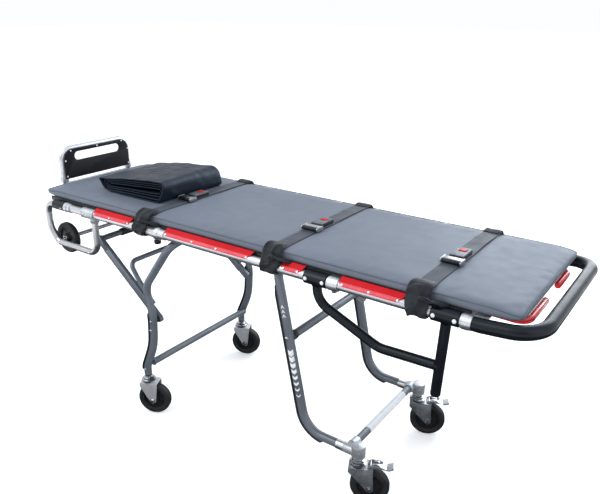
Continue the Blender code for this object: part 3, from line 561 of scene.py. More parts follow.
def make_head_loops():
    tee_r, boss_r = 0.0195, 0.0165
    for side, sign in SIDES:
        y = sign * RAIL_Y
        corners = [(RAIL_HEAD_X - 0.0003, y, RAIL_Z), (LOOP_LEFT_X, y, RAIL_Z),
                   (LOOP_LEFT_X + 0.002, y, 0.662), (-0.892, y, LOOP_BOTTOM_Z),
                   (TEE_X, y, LOOP_BOTTOM_Z), (TEE_X, y, RAIL_Z - tee_r)]
        bm = bmesh.new()
        add_tube(bm, rounded_path(corners, (0.045, 0.050, 0.036, 0.050), 4), LOOP_R, 40)
        piece("head_loop_tube_" + side, bm, "tube_aluminium", "deck",
              ("head_loop_" + side,))
        bm = bmesh.new()
        add_sleeve(bm, RAIL_R + 0.0002, tee_r, (TEE_SPAN[0], y, RAIL_Z), (TEE_SPAN[1], y, RAIL_Z),
                   0.0018)
        add_sleeve(bm, RAIL_R + 0.0002, tee_r + 0.0008, (TEE_SPAN[0], y, RAIL_Z),
                   (TEE_SPAN[0] + 0.0065, y, RAIL_Z))
        add_turned(bm, [(0, 0), (boss_r + 0.0030, 0), (boss_r + 0.0012, 0.007), (boss_r, 0.016),
                        (boss_r, 0.0285), (boss_r - 0.0010, 0.0300), (LOOP_R, 0.0300), (0, 0.0300)],
                   (0, 0, -1), (TEE_X, y, RAIL_Z), 36)
        out = Vector((0, sign, 0))
        for x, z in ((-0.6880, RAIL_Z), (TEE_X, 0.747)):
            reach = tee_r if z == RAIL_Z else boss_r
            add_dome(bm, Vector((x, y, z)) + out * reach, out, 0.0045, 0.0026)
        piece("head_tee_cast_" + side, bm, "cast", "deck", ("head_tee_" + side,))
        bm = bmesh.new()
        for x in (-0.875, -0.690):
            add_dome(bm, (x, y + sign * LOOP_R * 0.98, LOOP_BOTTOM_Z), (0, sign, 0), 0.0052, 0.0034)
        add_dome(bm, (TEE_X - LOOP_R * 0.98, y, 0.70), (-1, 0, 0), 0.0040, 0.0026)
        piece("loop_bolts_" + side, bm, "zinc", "deck")


def make_rail_fittings():
    """Sleeves, rings, castings and bolts along the rails, which the CAD rails carry plain."""
    for side, sign in SIDES:
        y = sign * RAIL_Y
        low_out = Vector((0, sign * math.cos(math.radians(-18)), math.sin(math.radians(-18))))
        bm = bmesh.new()
        add_sleeve(bm, RAIL_R, 0.0182, (RAIL_HEAD_X - 0.001, y, RAIL_Z), (-0.8125, y, RAIL_Z),
                   0.0015)
        piece("rail_end_sleeve_" + side, bm, "plastic", "deck")
        bm = bmesh.new()
        add_sleeve(bm, RAIL_R, 0.0188, (-0.8123, y, RAIL_Z), (-0.795, y, RAIL_Z), 0.0014)
        add_sleeve(bm, RAIL_R, 0.0174, (-0.795, y, RAIL_Z), (-0.777, y, RAIL_Z), 0.0012)
        add_dome(bm, Vector((-0.828, y, RAIL_Z)) + low_out * 0.018, low_out, 0.0045, 0.0024)
        # tapered casting beside the head belt
        profile = [(RAIL_R, -0.357), (0.0158, -0.357), (0.0190, -0.318), (0.0205, -0.312),
                   (0.0205, -0.296), (0.0190, -0.2935), (0.0176, -0.2925), (0.0176, -0.268),
                   (0.0168, -0.267), (RAIL_R, -0.267), (RAIL_R, -0.357)]
        add_turned(bm, profile, "X", (0, y, RAIL_Z), 40)
        add_slab(bm, rounded_outline((-0.331, y - 0.0060), (-0.293, y + 0.0060), 0.0055),
                 "Z", 0.7460, 0.7560, 0.0008)
        for x0, x1 in ((0.3855, 0.4215), (0.7765, 0.8055)):
            add_sleeve(bm, RAIL_R, 0.0198, (x0, y, RAIL_Z), (x1, y, RAIL_Z), 0.0012)
            add_sleeve(bm, RAIL_R, 0.0210, (x0 + 0.004, y, RAIL_Z), (x1 - 0.007, y, RAIL_Z), 0.0012)
        add_turned(bm, [(0, 0), (0.0085, 0), (0.0085, 0.0245), (0.0075, 0.0262), (0, 0.0262)],
                   (0, 0, -1), (0.404, y, RAIL_Z), 6)
        piece("rail_couplings_" + side, bm, "aluminium", "deck")
        bm = bmesh.new()
        add_turned(bm, [(0, 0), (0.006, 0), (0.006, 0.010), (0.0115, 0.013), (0.0125, 0.020),
                        (0.0105, 0.0265), (0.005, 0.0285), (0, 0.0285)], (0, 0, -1),
                   (-0.312, y, 0.7565), 28)
        piece("locking_knob_" + side, bm, "plastic", "deck")
    near = -RAIL_Y
    bm = bmesh.new()
    out = Vector((0, -math.cos(math.radians(4)), math.sin(math.radians(4))))
    for x in (0.3175, 0.3745, 0.7085, 0.7655):
        add_dome(bm, Vector((x, near, RAIL_Z)) + out * 0.0203, out, 0.0058, 0.0036, 24)
    piece("tee_bolts_near", bm, "rivet", "deck")


def make_post():
    y = -RAIL_Y
    root = RAIL_Z - 0.008
    tee_r = 0.0205
    bm = bmesh.new()
    for start, end in ((0.307, 0.384), (0.698, 0.775)):
        add_sleeve(bm, RAIL_R, tee_r, (start, y, RAIL_Z), (end, y, RAIL_Z), 0.0025, 48)
    brace_x = 0.3455
    corners = [(brace_x, y, root), (brace_x + 0.003, y, 0.700), (0.552, y, 0.6145),
               (0.7315, y, 0.6205)]
    add_tube(bm, rounded_path(corners, (0.060, 0.090), 4), POST_R, 40)
    dome = [(0, 0)] + [(POST_R * math.sin(a), POST_R * 0.6 * (1 - math.cos(a)))
                       for a in (math.radians(d) for d in (20, 40, 60, 78, 90))]
    height = root - POST_BOTTOM
    top_x = POST_X + 0.003
    lean = Vector((0.053, 0, 1))
    bottom = Vector((top_x, y, root)) - lean * height
    add_turned(bm, dome + [(POST_R, height), (0, height)], lean, bottom, 40)
    # weld fillets at the joints
    for x in (brace_x, top_x):
        add_turned(bm, [(POST_R - 0.001, 0.0), (POST_R + 0.0028, 0.0), (POST_R + 0.0010, 0.0035),
                        (POST_R - 0.001, 0.0065)], (0, 0, -1), (x, y, RAIL_Z - 0.0165), 40)
    add_turned(bm, [(POST_R - 0.001, 0.0), (POST_R + 0.0020, 0.0), (POST_R - 0.001, 0.004)],
               (-1, 0, -0.03), (0.7315 - POST_R * 0.72, y, 0.6200), 40)
    piece("fastening_post_frame", bm, "black_coat", "deck", ("fastening_post",))


def make_cross_members():
    """The deck panel and bearers keep their CAD shapes and get a finish."""
    for node in ("deck_panel", "rear_hinge_bearer", "front_hinge_bearer", "head_bearer",
                 "foot_bearer"):
        data = NODES[node].data
        data.materials.clear()
        data.materials.append(MATERIALS["sheet_aluminium"])


def make_gap_shade_strips():
    """A dark strip that fills the gap between the deck panel and each rail: painted shade where the
    mattress shadows the gap.
    """
    for side, sign in SIDES:
        low, high = sorted((sign * 0.2585, sign * 0.2655))
        bm = bmesh.new()
        add_box(bm, (-0.925, low, 0.7745), (0.795, high, 0.7905), 0.0012)
        # dark strip standing in for the shadow in the gap: painted shade
        piece("gap_shade_strip_" + side, bm, "strip", "deck")


def make_handle():
    x0, foot, half, top = -0.9765, 0.8133, 0.165, 0.948
    tube_r = 0.0105
    corners = [(x0, -half, foot), (x0, -half, top), (x0, half, top), (x0, half, foot)]
    bm = bmesh.new()
    add_tube(bm, rounded_path(corners, (0.045, 0.045), 5), tube_r, 32)
    piece("handle_tube", bm, "aluminium", "handle", ("handle_frame",))
    bm = bmesh.new()
    for sign in (-1, 1):
        y = sign * half
        low, high = sorted((y - sign * 0.017, y + sign * 0.0115))
        add_box(bm, (x0 - 0.0095, low, 0.8145), (x0 + 0.0095, high, 0.8375), 0.0025)
        add_dome(bm, (x0 + 0.0094, y, 0.826), (1, 0, 0), 0.0035, 0.0018)
    piece("handle_eyes", bm, "cast", "handle")
    edge = 0.003
    inner = 0.045 - edge
    roof = top - edge
    arc = [(half - edge - inner + inner * math.sin(a), roof - inner + inner * math.cos(a))
           for a in (math.radians(6 * k) for k in range(16))]
    right = arc + [(half - edge, 0.828)]
    outline = right + [(-y, z) for y, z in reversed(right)]
    bm = bmesh.new()
    back = x0 + tube_r + 0.0003
    front = back + 0.004
    add_slab(bm, outline, "X", back, front)
    plate = piece("handle_grip_plate", bm, "black_plate", "handle",
                  ("handle_plate",))
    bm = bmesh.new()
    add_slab(bm, rounded_outline((-0.112, 0.898), (0.112, 0.9325), 0.0170, 10), "X", back - 0.01,
             front + 0.01)
    cut_out(plate, piece("slot", bm, "black_plate", "handle"), 0.0008)
    bm = bmesh.new()
    spots = ((-0.128, 0.9395), (0.0, 0.9405), (0.128, 0.9395), (-0.1570, 0.902), (0.1570, 0.902),
             (-0.1560, 0.838), (0.1560, 0.838))
    for y, z in spots:
        add_dome(bm, (front, y, z), (1, 0, 0), 0.0034, 0.0018, 14)
    piece("handle_screws", bm, "rivet", "handle")


def baked(obj):
    """Replace an object's mesh by the result of its modifiers."""
    graph = bpy.context.evaluated_depsgraph_get()
    mesh = bpy.data.meshes.new_from_object(obj.evaluated_get(graph))
    obj.modifiers.clear()
    obj.data = mesh


def cut_out(target, hole, bevel):
    """Cut the hole's solid from the target, then soften its rims."""
    step = target.modifiers.new("cut", "BOOLEAN")
    step.operation = "DIFFERENCE"
    step.solver = "EXACT"
    step.object = hole
    edge = target.modifiers.new("bevel", "BEVEL")
    edge.width = bevel
    edge.segments = 2
    edge.limit_method = "ANGLE"
    edge.angle_limit = math.radians(60)
    baked(target)
    bpy.data.objects.remove(hole)


LEVER_YS = {"near": (0.213, 0.058), "far": (0.168, 0.046)}   # |y| of the root and the tip


def make_levers():
    root_x, z, radius, grip_x = 0.815, 0.778, 0.0095, 0.918
    for side, sign in SIDES:
        root_y, tip_y = LEVER_YS[side]
        corners = [(root_x, sign * root_y, z), (grip_x, sign * (root_y + 0.004), z),
                   (grip_x, sign * tip_y, z)]
        path = rounded_path(corners, (0.030,), 5)
        end = path[-1]
        before = (path[-2] - end).normalized()
        path = path[:-1] + [end + before * 0.006, end + before * 0.003, end + before * 0.0008, end]
        radii = [radius] * (len(path) - 4) + [radius, radius * 0.86, radius * 0.5, radius * 0.12]
        bm = bmesh.new()
        add_tube(bm, path, radii, 28)
        piece("lever_grip_" + side, bm, "lever", "release_lever_" + side,
              ("release_lever_" + side,))
        bm = bmesh.new()
        y = sign * root_y
        add_sleeve(bm, radius, radius + 0.0022, (root_x + 0.002, y, z), (root_x + 0.014, y, z),
                   0.0008, 24)
        piece("lever_collar_" + side, bm, "zinc", "release_lever_" + side)


# ---------------------------------------------------------------- soft goods
MATTRESS_X = (-0.950, 0.920)
MATTRESS_HALF = 0.268
MATTRESS_Z = (0.7908, 0.8205)
STRAPS = ("head", "middle", "foot")


def mattress_grid(columns, rows):
    """A closed pad shell: crowned top, flat base and a side wall, on a rounded rectangle."""
    low_x, high_x = MATTRESS_X[0] + 0.002, MATTRESS_X[1] - 0.002
    half = MATTRESS_HALF - 0.002
    radius = 0.026
    bm = bmesh.new()

    def place(u, v):
        """A square grid bent to the rounded rectangle."""
        x = low_x + (high_x - low_x) * u
        y = -half + 2 * half * v
        over_x = max(0.0, low_x + radius - x, x - (high_x - radius))
        over_y = max(0.0, abs(y) - (half - radius))
        if over_x > 0 and over_y > 0:
            most = max(over_x, over_y)
            pull = most / math.hypot(over_x, over_y)
            sx = 1 if x > 0 else -1
            x -= sx * over_x * (1 - pull)
            y -= (1 if y > 0 else -1) * over_y * (1 - pull)
        return x, y

    def layer(z, inset):
        grid = []
        for i in range(columns + 1):
            row = []
            for j in range(rows + 1):
                x, y = place(i / columns, j / rows)
                rim = i in (0, columns) or j in (0, rows)
                row.append(bm.verts.new((x, y, z - (inset if rim else 0.0))))
            grid.append(row)
        for i in range(columns):
            for j in range(rows):
                bm.faces.new((grid[i][j], grid[i + 1][j], grid[i + 1][j + 1], grid[i][j + 1]))
        return grid

    top = layer(MATTRESS_Z[1] - 0.0015, 0.0035)
    base = layer(MATTRESS_Z[0] + 0.0006, -0.0020)

    def rim(grid):
        return ([grid[i][0] for i in range(columns)] + [grid[columns][j] for j in range(rows)]
                + [grid[i][rows] for i in range(columns, 0, -1)]
                + [grid[0][j] for j in range(rows, 0, -1)])

    upper, lower = rim(top), rim(base)
    middle = [bm.verts.new((a.co + b.co) / 2) for a, b in zip(upper, lower)]
    count = len(upper)
    for i in range(count):
        j = (i + 1) % count
        bm.faces.new((upper[i], upper[j], middle[j], middle[i]))
        bm.faces.new((middle[i], middle[j], lower[j], lower[i]))
    rim_keys = [tuple(round(c, 6) for c in v.co) for v in upper + lower]
    return bm, rim_keys, [v.co.copy() for v in upper], [v.co.copy() for v in lower]


def inflate(obj, pinned, pressure, steps, cap):
    """Run Blender's cloth on a closed shell with gravity off, keep each move under cap, apply."""
    start = [v.co.copy() for v in obj.data.vertices]
    group = obj.vertex_groups.new(name="held")
    group.add(pinned, 1.0, "REPLACE")
    cloth = obj.modifiers.new("cloth", "CLOTH")
    settings = cloth.settings
    settings.use_pressure = True
    settings.uniform_pressure_force = pressure
    settings.effector_weights.gravity = 0.0
    settings.quality = 5
    settings.mass = 0.3
    settings.tension_stiffness = 25
    settings.compression_stiffness = 12
    settings.bending_stiffness = 0.8
    settings.shrink_min = -0.010
    settings.vertex_group_mass = "held"
    settings.pin_stiffness = 1.0
    cloth.collision_settings.use_collision = False
    cloth.point_cache.frame_start = 1
    cloth.point_cache.frame_end = steps
    scene = bpy.context.scene
    for number in range(1, steps + 1):
        scene.frame_set(number)
    graph = bpy.context.evaluated_depsgraph_get()
    moved = [v.co.copy() for v in obj.evaluated_get(graph).data.vertices]
    obj.modifiers.clear()
    obj.vertex_groups.clear()
    scene.frame_set(1)
    for vert, before, after in zip(obj.data.vertices, start, moved):
        step = after - before
        if step.length > cap:
            step = step.normalized() * cap
        vert.co = before + step


def strap_x(name):
    low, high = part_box("strap_" + name)
    return (low.x + high.x) / 2


def pinched(point):
    """Draw a point of the pad in at its corners, where top and base meet like a pillow's."""
    x, y, z = point
    off = math.hypot(min(x - MATTRESS_X[0], MATTRESS_X[1] - x), MATTRESS_HALF - abs(y))
    near = math.exp(-(off / 0.042) ** 2)
    level = (z - MATTRESS_Z[0]) / (MATTRESS_Z[1] - MATTRESS_Z[0])
    tip = math.exp(-(off / 0.022) ** 2)
    return Vector((x - (0.006 * near + 0.010 * tip if x < 0 else -0.002 * near), y,
                   z + near * (0.006 * (1 - level) - 0.009 * level)))


def shape_mattress(obj):
    """Hollows under the belts, puckers at the seams, drawn-in corners and a flat base."""
    for vert in obj.data.vertices:
        vert.co = pinched(vert.co)
        x, y, z = vert.co
        top = min(max((z - 0.806) / 0.010, 0.0), 1.0)
        if top <= 0:
            vert.co.z = max(z, MATTRESS_Z[0])
            continue
        press = 0.0
        for name in STRAPS:
            off = abs(x - strap_x(name))
            press += 0.0016 * math.exp(-(off / 0.026) ** 4)
        edge = min(MATTRESS_HALF - abs(y), x - MATTRESS_X[0], MATTRESS_X[1] - x)
        pucker = math.exp(-max(edge, 0) / 0.030)
        slow = wobble((x * 0.6, y * 1.6, 0), 5.5, 3.1) * 0.0011
        fine = wobble((x, y, 0), 34, 8.2) * 0.0008 * pucker
        ripple = math.sin(x * 62 + 3.0 * wobble((x, 0, 0), 6, 5)) * 0.0005 * pucker
        vert.co.z = min(z + (slow + fine + ripple) * top - press * top, MATTRESS_Z[1] + 0.0030)


def add_loop(bm, points, radius, sides=8):
    """A closed thin cord along a loop of points."""
    count = len(points)
    rings = []
    for i, point in enumerate(points):
        along = (points[(i + 1) % count] - points[i - 1]).normalized()
        out = along.cross(Vector((0, 0, 1))).normalized()
        up = out.cross(along)
        rings.append([bm.verts.new(point + (out * math.cos(2 * math.pi * k / sides)
                                            + up * math.sin(2 * math.pi * k / sides)) * radius)
                      for k in range(sides)])
    for i in range(count):
        low, high = rings[i], rings[(i + 1) % count]
        for k in range(sides):
            nxt = (k + 1) % sides
            bm.faces.new((low[k], low[nxt], high[nxt], high[k]))


def make_mattress():
    bm, rim_keys, upper, lower = mattress_grid(144, 42)
    pad = piece("mattress_pad", bm, "vinyl", "deck", ("mattress",), angle=180)
    keys = set(rim_keys)
    pinned = [v.index for v in pad.data.vertices
              if tuple(round(c, 6) for c in v.co) in keys
              or (v.co.z < 0.80 and abs(v.co.z - (MATTRESS_Z[0] + 0.0006)) < 1e-5)]
    inflate(pad, pinned, 1.2, 16, 0.0035)
    shape_mattress(pad)
    step = pad.modifiers.new("subdivision", "SUBSURF")
    step.levels = 1
    step.render_levels = 1
    baked(pad)
    pad.data.shade_smooth()
    for name, rim, lift, inset in (("top", upper, 0.0004, 0.0010), ("base", lower, 0.0010, 0.0040)):
        bm = bmesh.new()
        middle = Vector(((MATTRESS_X[0] + MATTRESS_X[1]) / 2, 0, 0))
        shrink = Vector((1 - 2 * inset / (MATTRESS_X[1] - MATTRESS_X[0]),
                         1 - inset / MATTRESS_HALF, 1))
        line = [pinched((p - middle) * shrink + middle)
                + Vector((0, 0, lift + 0.0002 * wobble(p, 40, 2.0))) for p in rim]
        add_loop(bm, line, 0.0014)
        piece("mattress_piping_" + name, bm, "piping", "deck")


def ribbon(bm, line, width_at, thick, x_at, cells=10, ripple=None):
    """A closed flat band along (y, z) points. x_at(i) is its middle and width_at(i) its width."""
    count = len(line)
    top, under = [], []
    for i, point in enumerate(line):
        ahead = (line[min(i + 1, count - 1)] - line[max(i - 1, 0)]).normalized()
        side = Vector((-ahead.y, ahead.x))
        over, below = [], []
        for k in range(cells + 1):
            share = k / cells
            across = (share - 0.5) * width_at(i)
            x = x_at(i) + across
            swell = ripple(i, share) if ripple else 0.0
            edge = 1 - 0.55 * max(0.0, abs(share - 0.5) * 2 - 0.85) / 0.15
            up = point + side * (thick / 2 * edge + swell)
            down = point - side * (thick / 2 * edge - swell * 0.6)
            over.append(bm.verts.new((x, up.x, up.y)))
            below.append(bm.verts.new((x, down.x, down.y)))
        top.append(over)
        under.append(below)
    close_sheet(bm, top, under)


BELT_Z = MATTRESS_Z[1] + 0.0026
BELT_WIDTH = 0.0500


def make_belts():
    for number, name in enumerate(STRAPS):
        buckle_low, buckle_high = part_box("buckle_" + name)
        middle_y = (buckle_low.y + buckle_high.y) / 2
        bm = bmesh.new()
        ys = [-0.262 + 0.524 * i / 90 for i in range(91)]
        line = [Vector((y, BELT_Z + 0.0004 + 0.0009 * wobble((0.0, y, number), 9, 4.0 + number)
                        + 0.0022 * math.exp(-((y - middle_y) / 0.050) ** 4)))
                for y in ys]
        ribs = [0.00034 * math.cos(2 * math.pi * 4 * k / 24) for k in range(25)]

        def swell(i, share, number=number, ys=ys, ribs=ribs):
            """Woven ribs, a slow ripple, and edges that curl up beyond the buckle."""
            edge = abs(2 * share - 1)
            far = (min(max((ys[i] - 0.022) / 0.02, 0.0), 1.0)
                   * min(max((0.235 - ys[i]) / 0.08, 0.0), 1.0))
            lift = 0.6 + 0.4 * wobble((share * 2, ys[i] * 6, number), 1, 3)
            curl = 0.0030 * far * edge ** 2 * lift
            return (ribs[round(share * 24)] + curl
                    + 0.0006 * wobble((share * 0.05, ys[i], number), 30, 7))

        x = strap_x(name)
        ribbon(bm, line, lambda i: BELT_WIDTH, 0.0036,
               lambda i, x=x, number=number, ys=ys: x + 0.0010 * math.sin(ys[i] * 22 + number), 24,
               swell)
        piece("belt_" + name, bm, "webbing", "deck", ("strap_" + name,), angle=180)
        for side, sign in SIDES:
            make_wrap(name, side, sign, number)
        make_tail(name, number)


SLEEVE_SHIFT = {"head": -0.016, "middle": -0.004, "foot": 0.001}


def make_wrap(name, side, sign, number):
    """The creased sleeve of a belt's end: bunched over the mattress edge and round the rail."""
    seed = 11.0 + number * 7.3 + (3.7 if sign > 0 else 0.0)
    rail_r = RAIL_R + 0.0048
    top = MATTRESS_Z[1]
    puff = 1.0 if sign < 0 else 0.25
    path = [Vector((y, top + rise)) for y, rise in ((0.230, 0.0046), (0.238, 0.0066),
                                                           (0.248, 0.0082), (0.258, 0.0074),
                                                           (0.268, 0.0036))]
    path += [Vector(p) for p in ((0.2775, top - 0.0060), (0.2835, top - 0.0200))]
    path += [Vector((RAIL_Y + (rail_r + 0.001) * math.cos(a), RAIL_Z + rail_r * math.sin(a)))
             for a in (math.radians(d) for d in range(46, -131, -14))]
    path.append(Vector((RAIL_Y - 0.010, RAIL_Z - 0.0165)))
    dense = []
    for a, b in zip(path, path[1:]):
        dense += [a + (b - a) * k / 5 for k in range(5)]
    dense.append(path[-1])
    line = [Vector((-p.x, p.y)) for p in reversed(dense)] if sign < 0 else dense
    count = len(line)
    x = strap_x(name)
    shift = SLEEVE_SHIFT[name] if sign < 0 else 0.0

    def share_of(i):
        """0 at the end on the mattress, 1 at the end under the rail."""
        return (count - 1 - i) / (count - 1) if sign < 0 else i / (count - 1)

    def width(i):
        s = share_of(i)
        grown = 0.049 + 0.018 * puff * math.sin(min(s / 0.30, 1.0) * math.pi / 2)
        grown -= 0.018 * puff * min(max((s - 0.35) / 0.4, 0.0), 1.0)
        return grown + 0.006 * puff * wobble((s * 2, 0, 0), 2.2, seed)

    def middle(i):
        s = share_of(i)
        return (x + shift * min(s / 0.6, 1.0) - 0.007 * puff * max(1.0 - s / 0.5, 0.0)
                + 0.005 * wobble((s * 2, 1, 0), 1.7, seed + 5))

    def creases(i, share):
        s = share_of(i)
        grow = min(max((s - 0.02) / 0.18, 0.0), 1.0)
        phase = share * 1.1 + s * 1.7 + 0.4 * wobble((share, s * 2, 0), 1.0, seed)
        fold = 2 * abs(phase % 1 - 0.5)
        crumple = wobble((share * 1.6, s * 3.2, 0), 1.3, seed + 2)
        slant = (share * 1.5 + s * 1.8, s * 2.4 - share * 0.7, 0)
        ridge = 1 - abs(wobble(slant, 1.2, seed + 9)) * 3.4
        edge = 1 - max(0.0, abs(2 * share - 1) - 0.80) / 0.20
        limit = 0.4 if s > 0.62 else 1.0
        lumps = 0.0062 * fold + 0.0020 * crumple + 0.0050 * max(ridge, 0.0) - 0.0020
        return limit * grow * puff * (1.3 - 0.9 * share) * lumps * (0.35 + 0.65 * edge)

    bm = bmesh.new()
    ribbon(bm, line, width, 0.0056, middle, 34, creases)
    piece(f"belt_sleeve_{name}_{side}", bm, "wrap", "deck", angle=180)


def make_tail(name, number):
    """The twisted fold that leaves the near sleeve and tucks in under the mattress edge."""
    x = strap_x(name) + SLEEVE_SHIFT[name]
    points = [Vector(p) for p in ((x + 0.002, 0.2985, 0.8040), (x + 0.020, 0.2990, 0.8055),
                                  (x + 0.036, 0.2950, 0.8030), (x + 0.052, 0.2850, 0.8000),
                                  (x + 0.066, 0.2740, 0.7940), (x + 0.078, 0.2670, 0.7880))]
    halves = (0.004, 0.016, 0.0105, 0.0095, 0.0065, 0.0020)
    steps, cells = 36, 10
    bm = bmesh.new()
    over, under = [], []
    for i in range(steps + 1):
        t = i / steps * (len(points) - 1)
        k = min(int(t), len(points) - 2)
        f = t - k
        f = f * f * (3 - 2 * f)
        at = points[k].lerp(points[k + 1], f)
        half = halves[k] + (halves[k + 1] - halves[k]) * f
        turn = math.radians(78 - 150 * i / steps + 18 * wobble((i * 0.2, number, 0), 1, 2))
        ahead = (points[k + 1] - points[k]).normalized()
        up = Vector((0, 0, 1))
        out = ahead.cross(up).normalized() * -1
        across = (up * math.sin(turn) + out * math.cos(turn)).normalized()
        face = ahead.cross(across).normalized()
        rows = ([], [])
        for c in range(cells + 1):
            share = 2 * c / cells - 1
            crease = 0.0018 * math.cos(share * 5.5 + i * 0.15)
            thick = 0.0026 * math.sqrt(max(1 - share * share, 0.03))
            for row, way in zip(rows, (1, -1)):
                p = at + across * (share * half) + face * (thick * way + crease)
                row.append(bm.verts.new((p.x, -p.y, p.z)))
        over.append(rows[0])
        under.append(rows[1])
    close_sheet(bm, over, under)
    piece(f"belt_tail_{name}", bm, "wrap", "deck", angle=180)


ADJUSTER_LONG = 0.040            # the buckle's near part, along the belt


def make_buckles():
    for name in STRAPS:
        low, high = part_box("buckle_" + name)
        x = (low.x + high.x) / 2
        half = (high.x - low.x) / 2
        base, top = low.z, high.z
        seam, far = low.y + ADJUSTER_LONG, high.y
        near = low.y
        body = 0.0215
        button_low, button_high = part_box("buckle_button_" + name)
        bm = bmesh.new()
        add_slab(bm, rounded_outline((x - body, seam + 0.001), (x + body, far), 0.005, 5), "Z",
                 base, top - 0.0040, 0.0014)
        add_slab(bm, rounded_outline((near + 0.0025, base + 0.0008), (seam - 0.002, top - 0.0020),
                                     0.0060, 6), "X", x - half + 0.0040, x + half - 0.0040, 0.0010)
        piece("buckle_body_" + name, bm, "plastic", "deck", ("buckle_" + name,))
        bm = bmesh.new()
        window = (button_low.x - 0.0010, button_low.y - 0.0010, button_high.x + 0.0010,
                  button_high.y + 0.0010)
        z0, z1 = top - 0.0042, top - 0.0002
        plate = (x - body + 0.0012, seam + 0.004, x + body - 0.0012, far - 0.002)
        add_box(bm, (plate[0], plate[1], z0), (plate[2], window[1], z1), 0.0009)
        add_box(bm, (plate[0], window[3], z0), (plate[2], plate[3], z1), 0.0009)
        add_box(bm, (plate[0], window[1] - 0.001, z0), (window[0], window[3] + 0.001, z1), 0.0009)
        add_box(bm, (window[2], window[1] - 0.001, z0), (plate[2], window[3] + 0.001, z1), 0.0009)
        piece("buckle_plate_" + name, bm, "buckle_plate", "deck")
        bm = bmesh.new()
        add_box(bm, (x - body + 0.003, seam - 0.006, base + 0.006), (x + body - 0.003, seam + 0.006,
                                                                    base + 0.009), 0.0008)
        for sx in (-1, 1):
            a, b = sorted((x + sx * (half - 0.0042), x + sx * half))
            cheek = rounded_outline((near + 0.0010, base + 0.0004),
                                    (seam - 0.0010, top - 0.0008), 0.0068, 6)
            add_slab(bm, cheek, "X", a, b, 0.0010)
            add_turned(bm, [(0, 0), (0.0042, 0), (0.0042, 0.0008), (0.0026, 0.0012), (0, 0.0006)],
                       (sx, 0, 0), (x + sx * half * 0.995, near + 0.010, base + 0.0075), 20)
        # Bright metal bar along the adjuster's top: a painted highlight on the dark roller
        add_box(bm, (x - half + 0.0045, near + 0.011, top - 0.0040),
                (x + half - 0.0045, seam - 0.009, top - 0.0012), 0.0010)
        piece("buckle_metal_and_highlight_" + name, bm, "buckle_metal_and_highlight", "deck")
        bm = bmesh.new()
        add_box(bm, tuple(button_low), tuple(button_high), 0.0014, 3)
        piece("button_cap_" + name, bm, "button", "buckle_button_" + name,
              ("buckle_button_" + name,))


# ---------------------------------------------------------------- folded cover
COVER_Y = (-0.172, 0.158)
# (x, z) at each end, near then far: two below, from -X, then two above, from +X
COVER_CORNERS = [[Vector(p) for p in end] for end in
                 (((-0.716, 0.8222), (-0.422, 0.8222), (-0.384, 0.9080), (-0.752, 0.8660)),
                  ((-0.716, 0.8222), (-0.405, 0.8222), (-0.430, 0.8990), (-0.762, 0.8640)))]
# bend radii of each turn of the fold: right low, right high, left high, left low
COVER_BENDS = ((0.018, 0.024, 0.006, 0.014), (0.012, 0.016, 0.009, 0.010),
               (0.008, 0.010, 0.007, 0.007), (0.005, 0.006, 0.005, 0.005))
COVER_WIDE, COVER_TALL = 0.320, 0.082
COVER_THICK = 0.0052


def cover_line():
    """The cover's fold as flat (x, z) points: one sheet wound inwards, in its own rectangle."""
    step_z, step_l, step_r = 0.0096, 0.0125, 0.0075
    corners, radii = [], []
    turns = len(COVER_BENDS)
    for k in range(turns):
        left, right = step_l * k, COVER_WIDE - step_r * k
        low, high = COVER_THICK / 2 + step_z * k, COVER_TALL - COVER_THICK / 2 - step_z * k
        if k == 0:
            corners.append((left + 0.030, 0, low))
        corners += [(right, 0, low), (right, 0, high), (left, 0, high)]
        radii += COVER_BENDS[k][:3]
        if k < turns - 1:
            corners.append((left, 0, low + step_z))
            radii.append(COVER_BENDS[k][3])
    radii.pop()
    return [Vector((p.x, p.z)) for p in rounded_path(corners, radii, 14)]


def spaced(points, step):
    """The same line with points an even step apart."""
    line = [Vector(p) for p in points]
    made = [line[0]]
    for a, b in zip(line, line[1:]):
        count = max(1, round((b - a).length / step))
        made += [a + (b - a) * k / count for k in range(1, count + 1)]
    return made


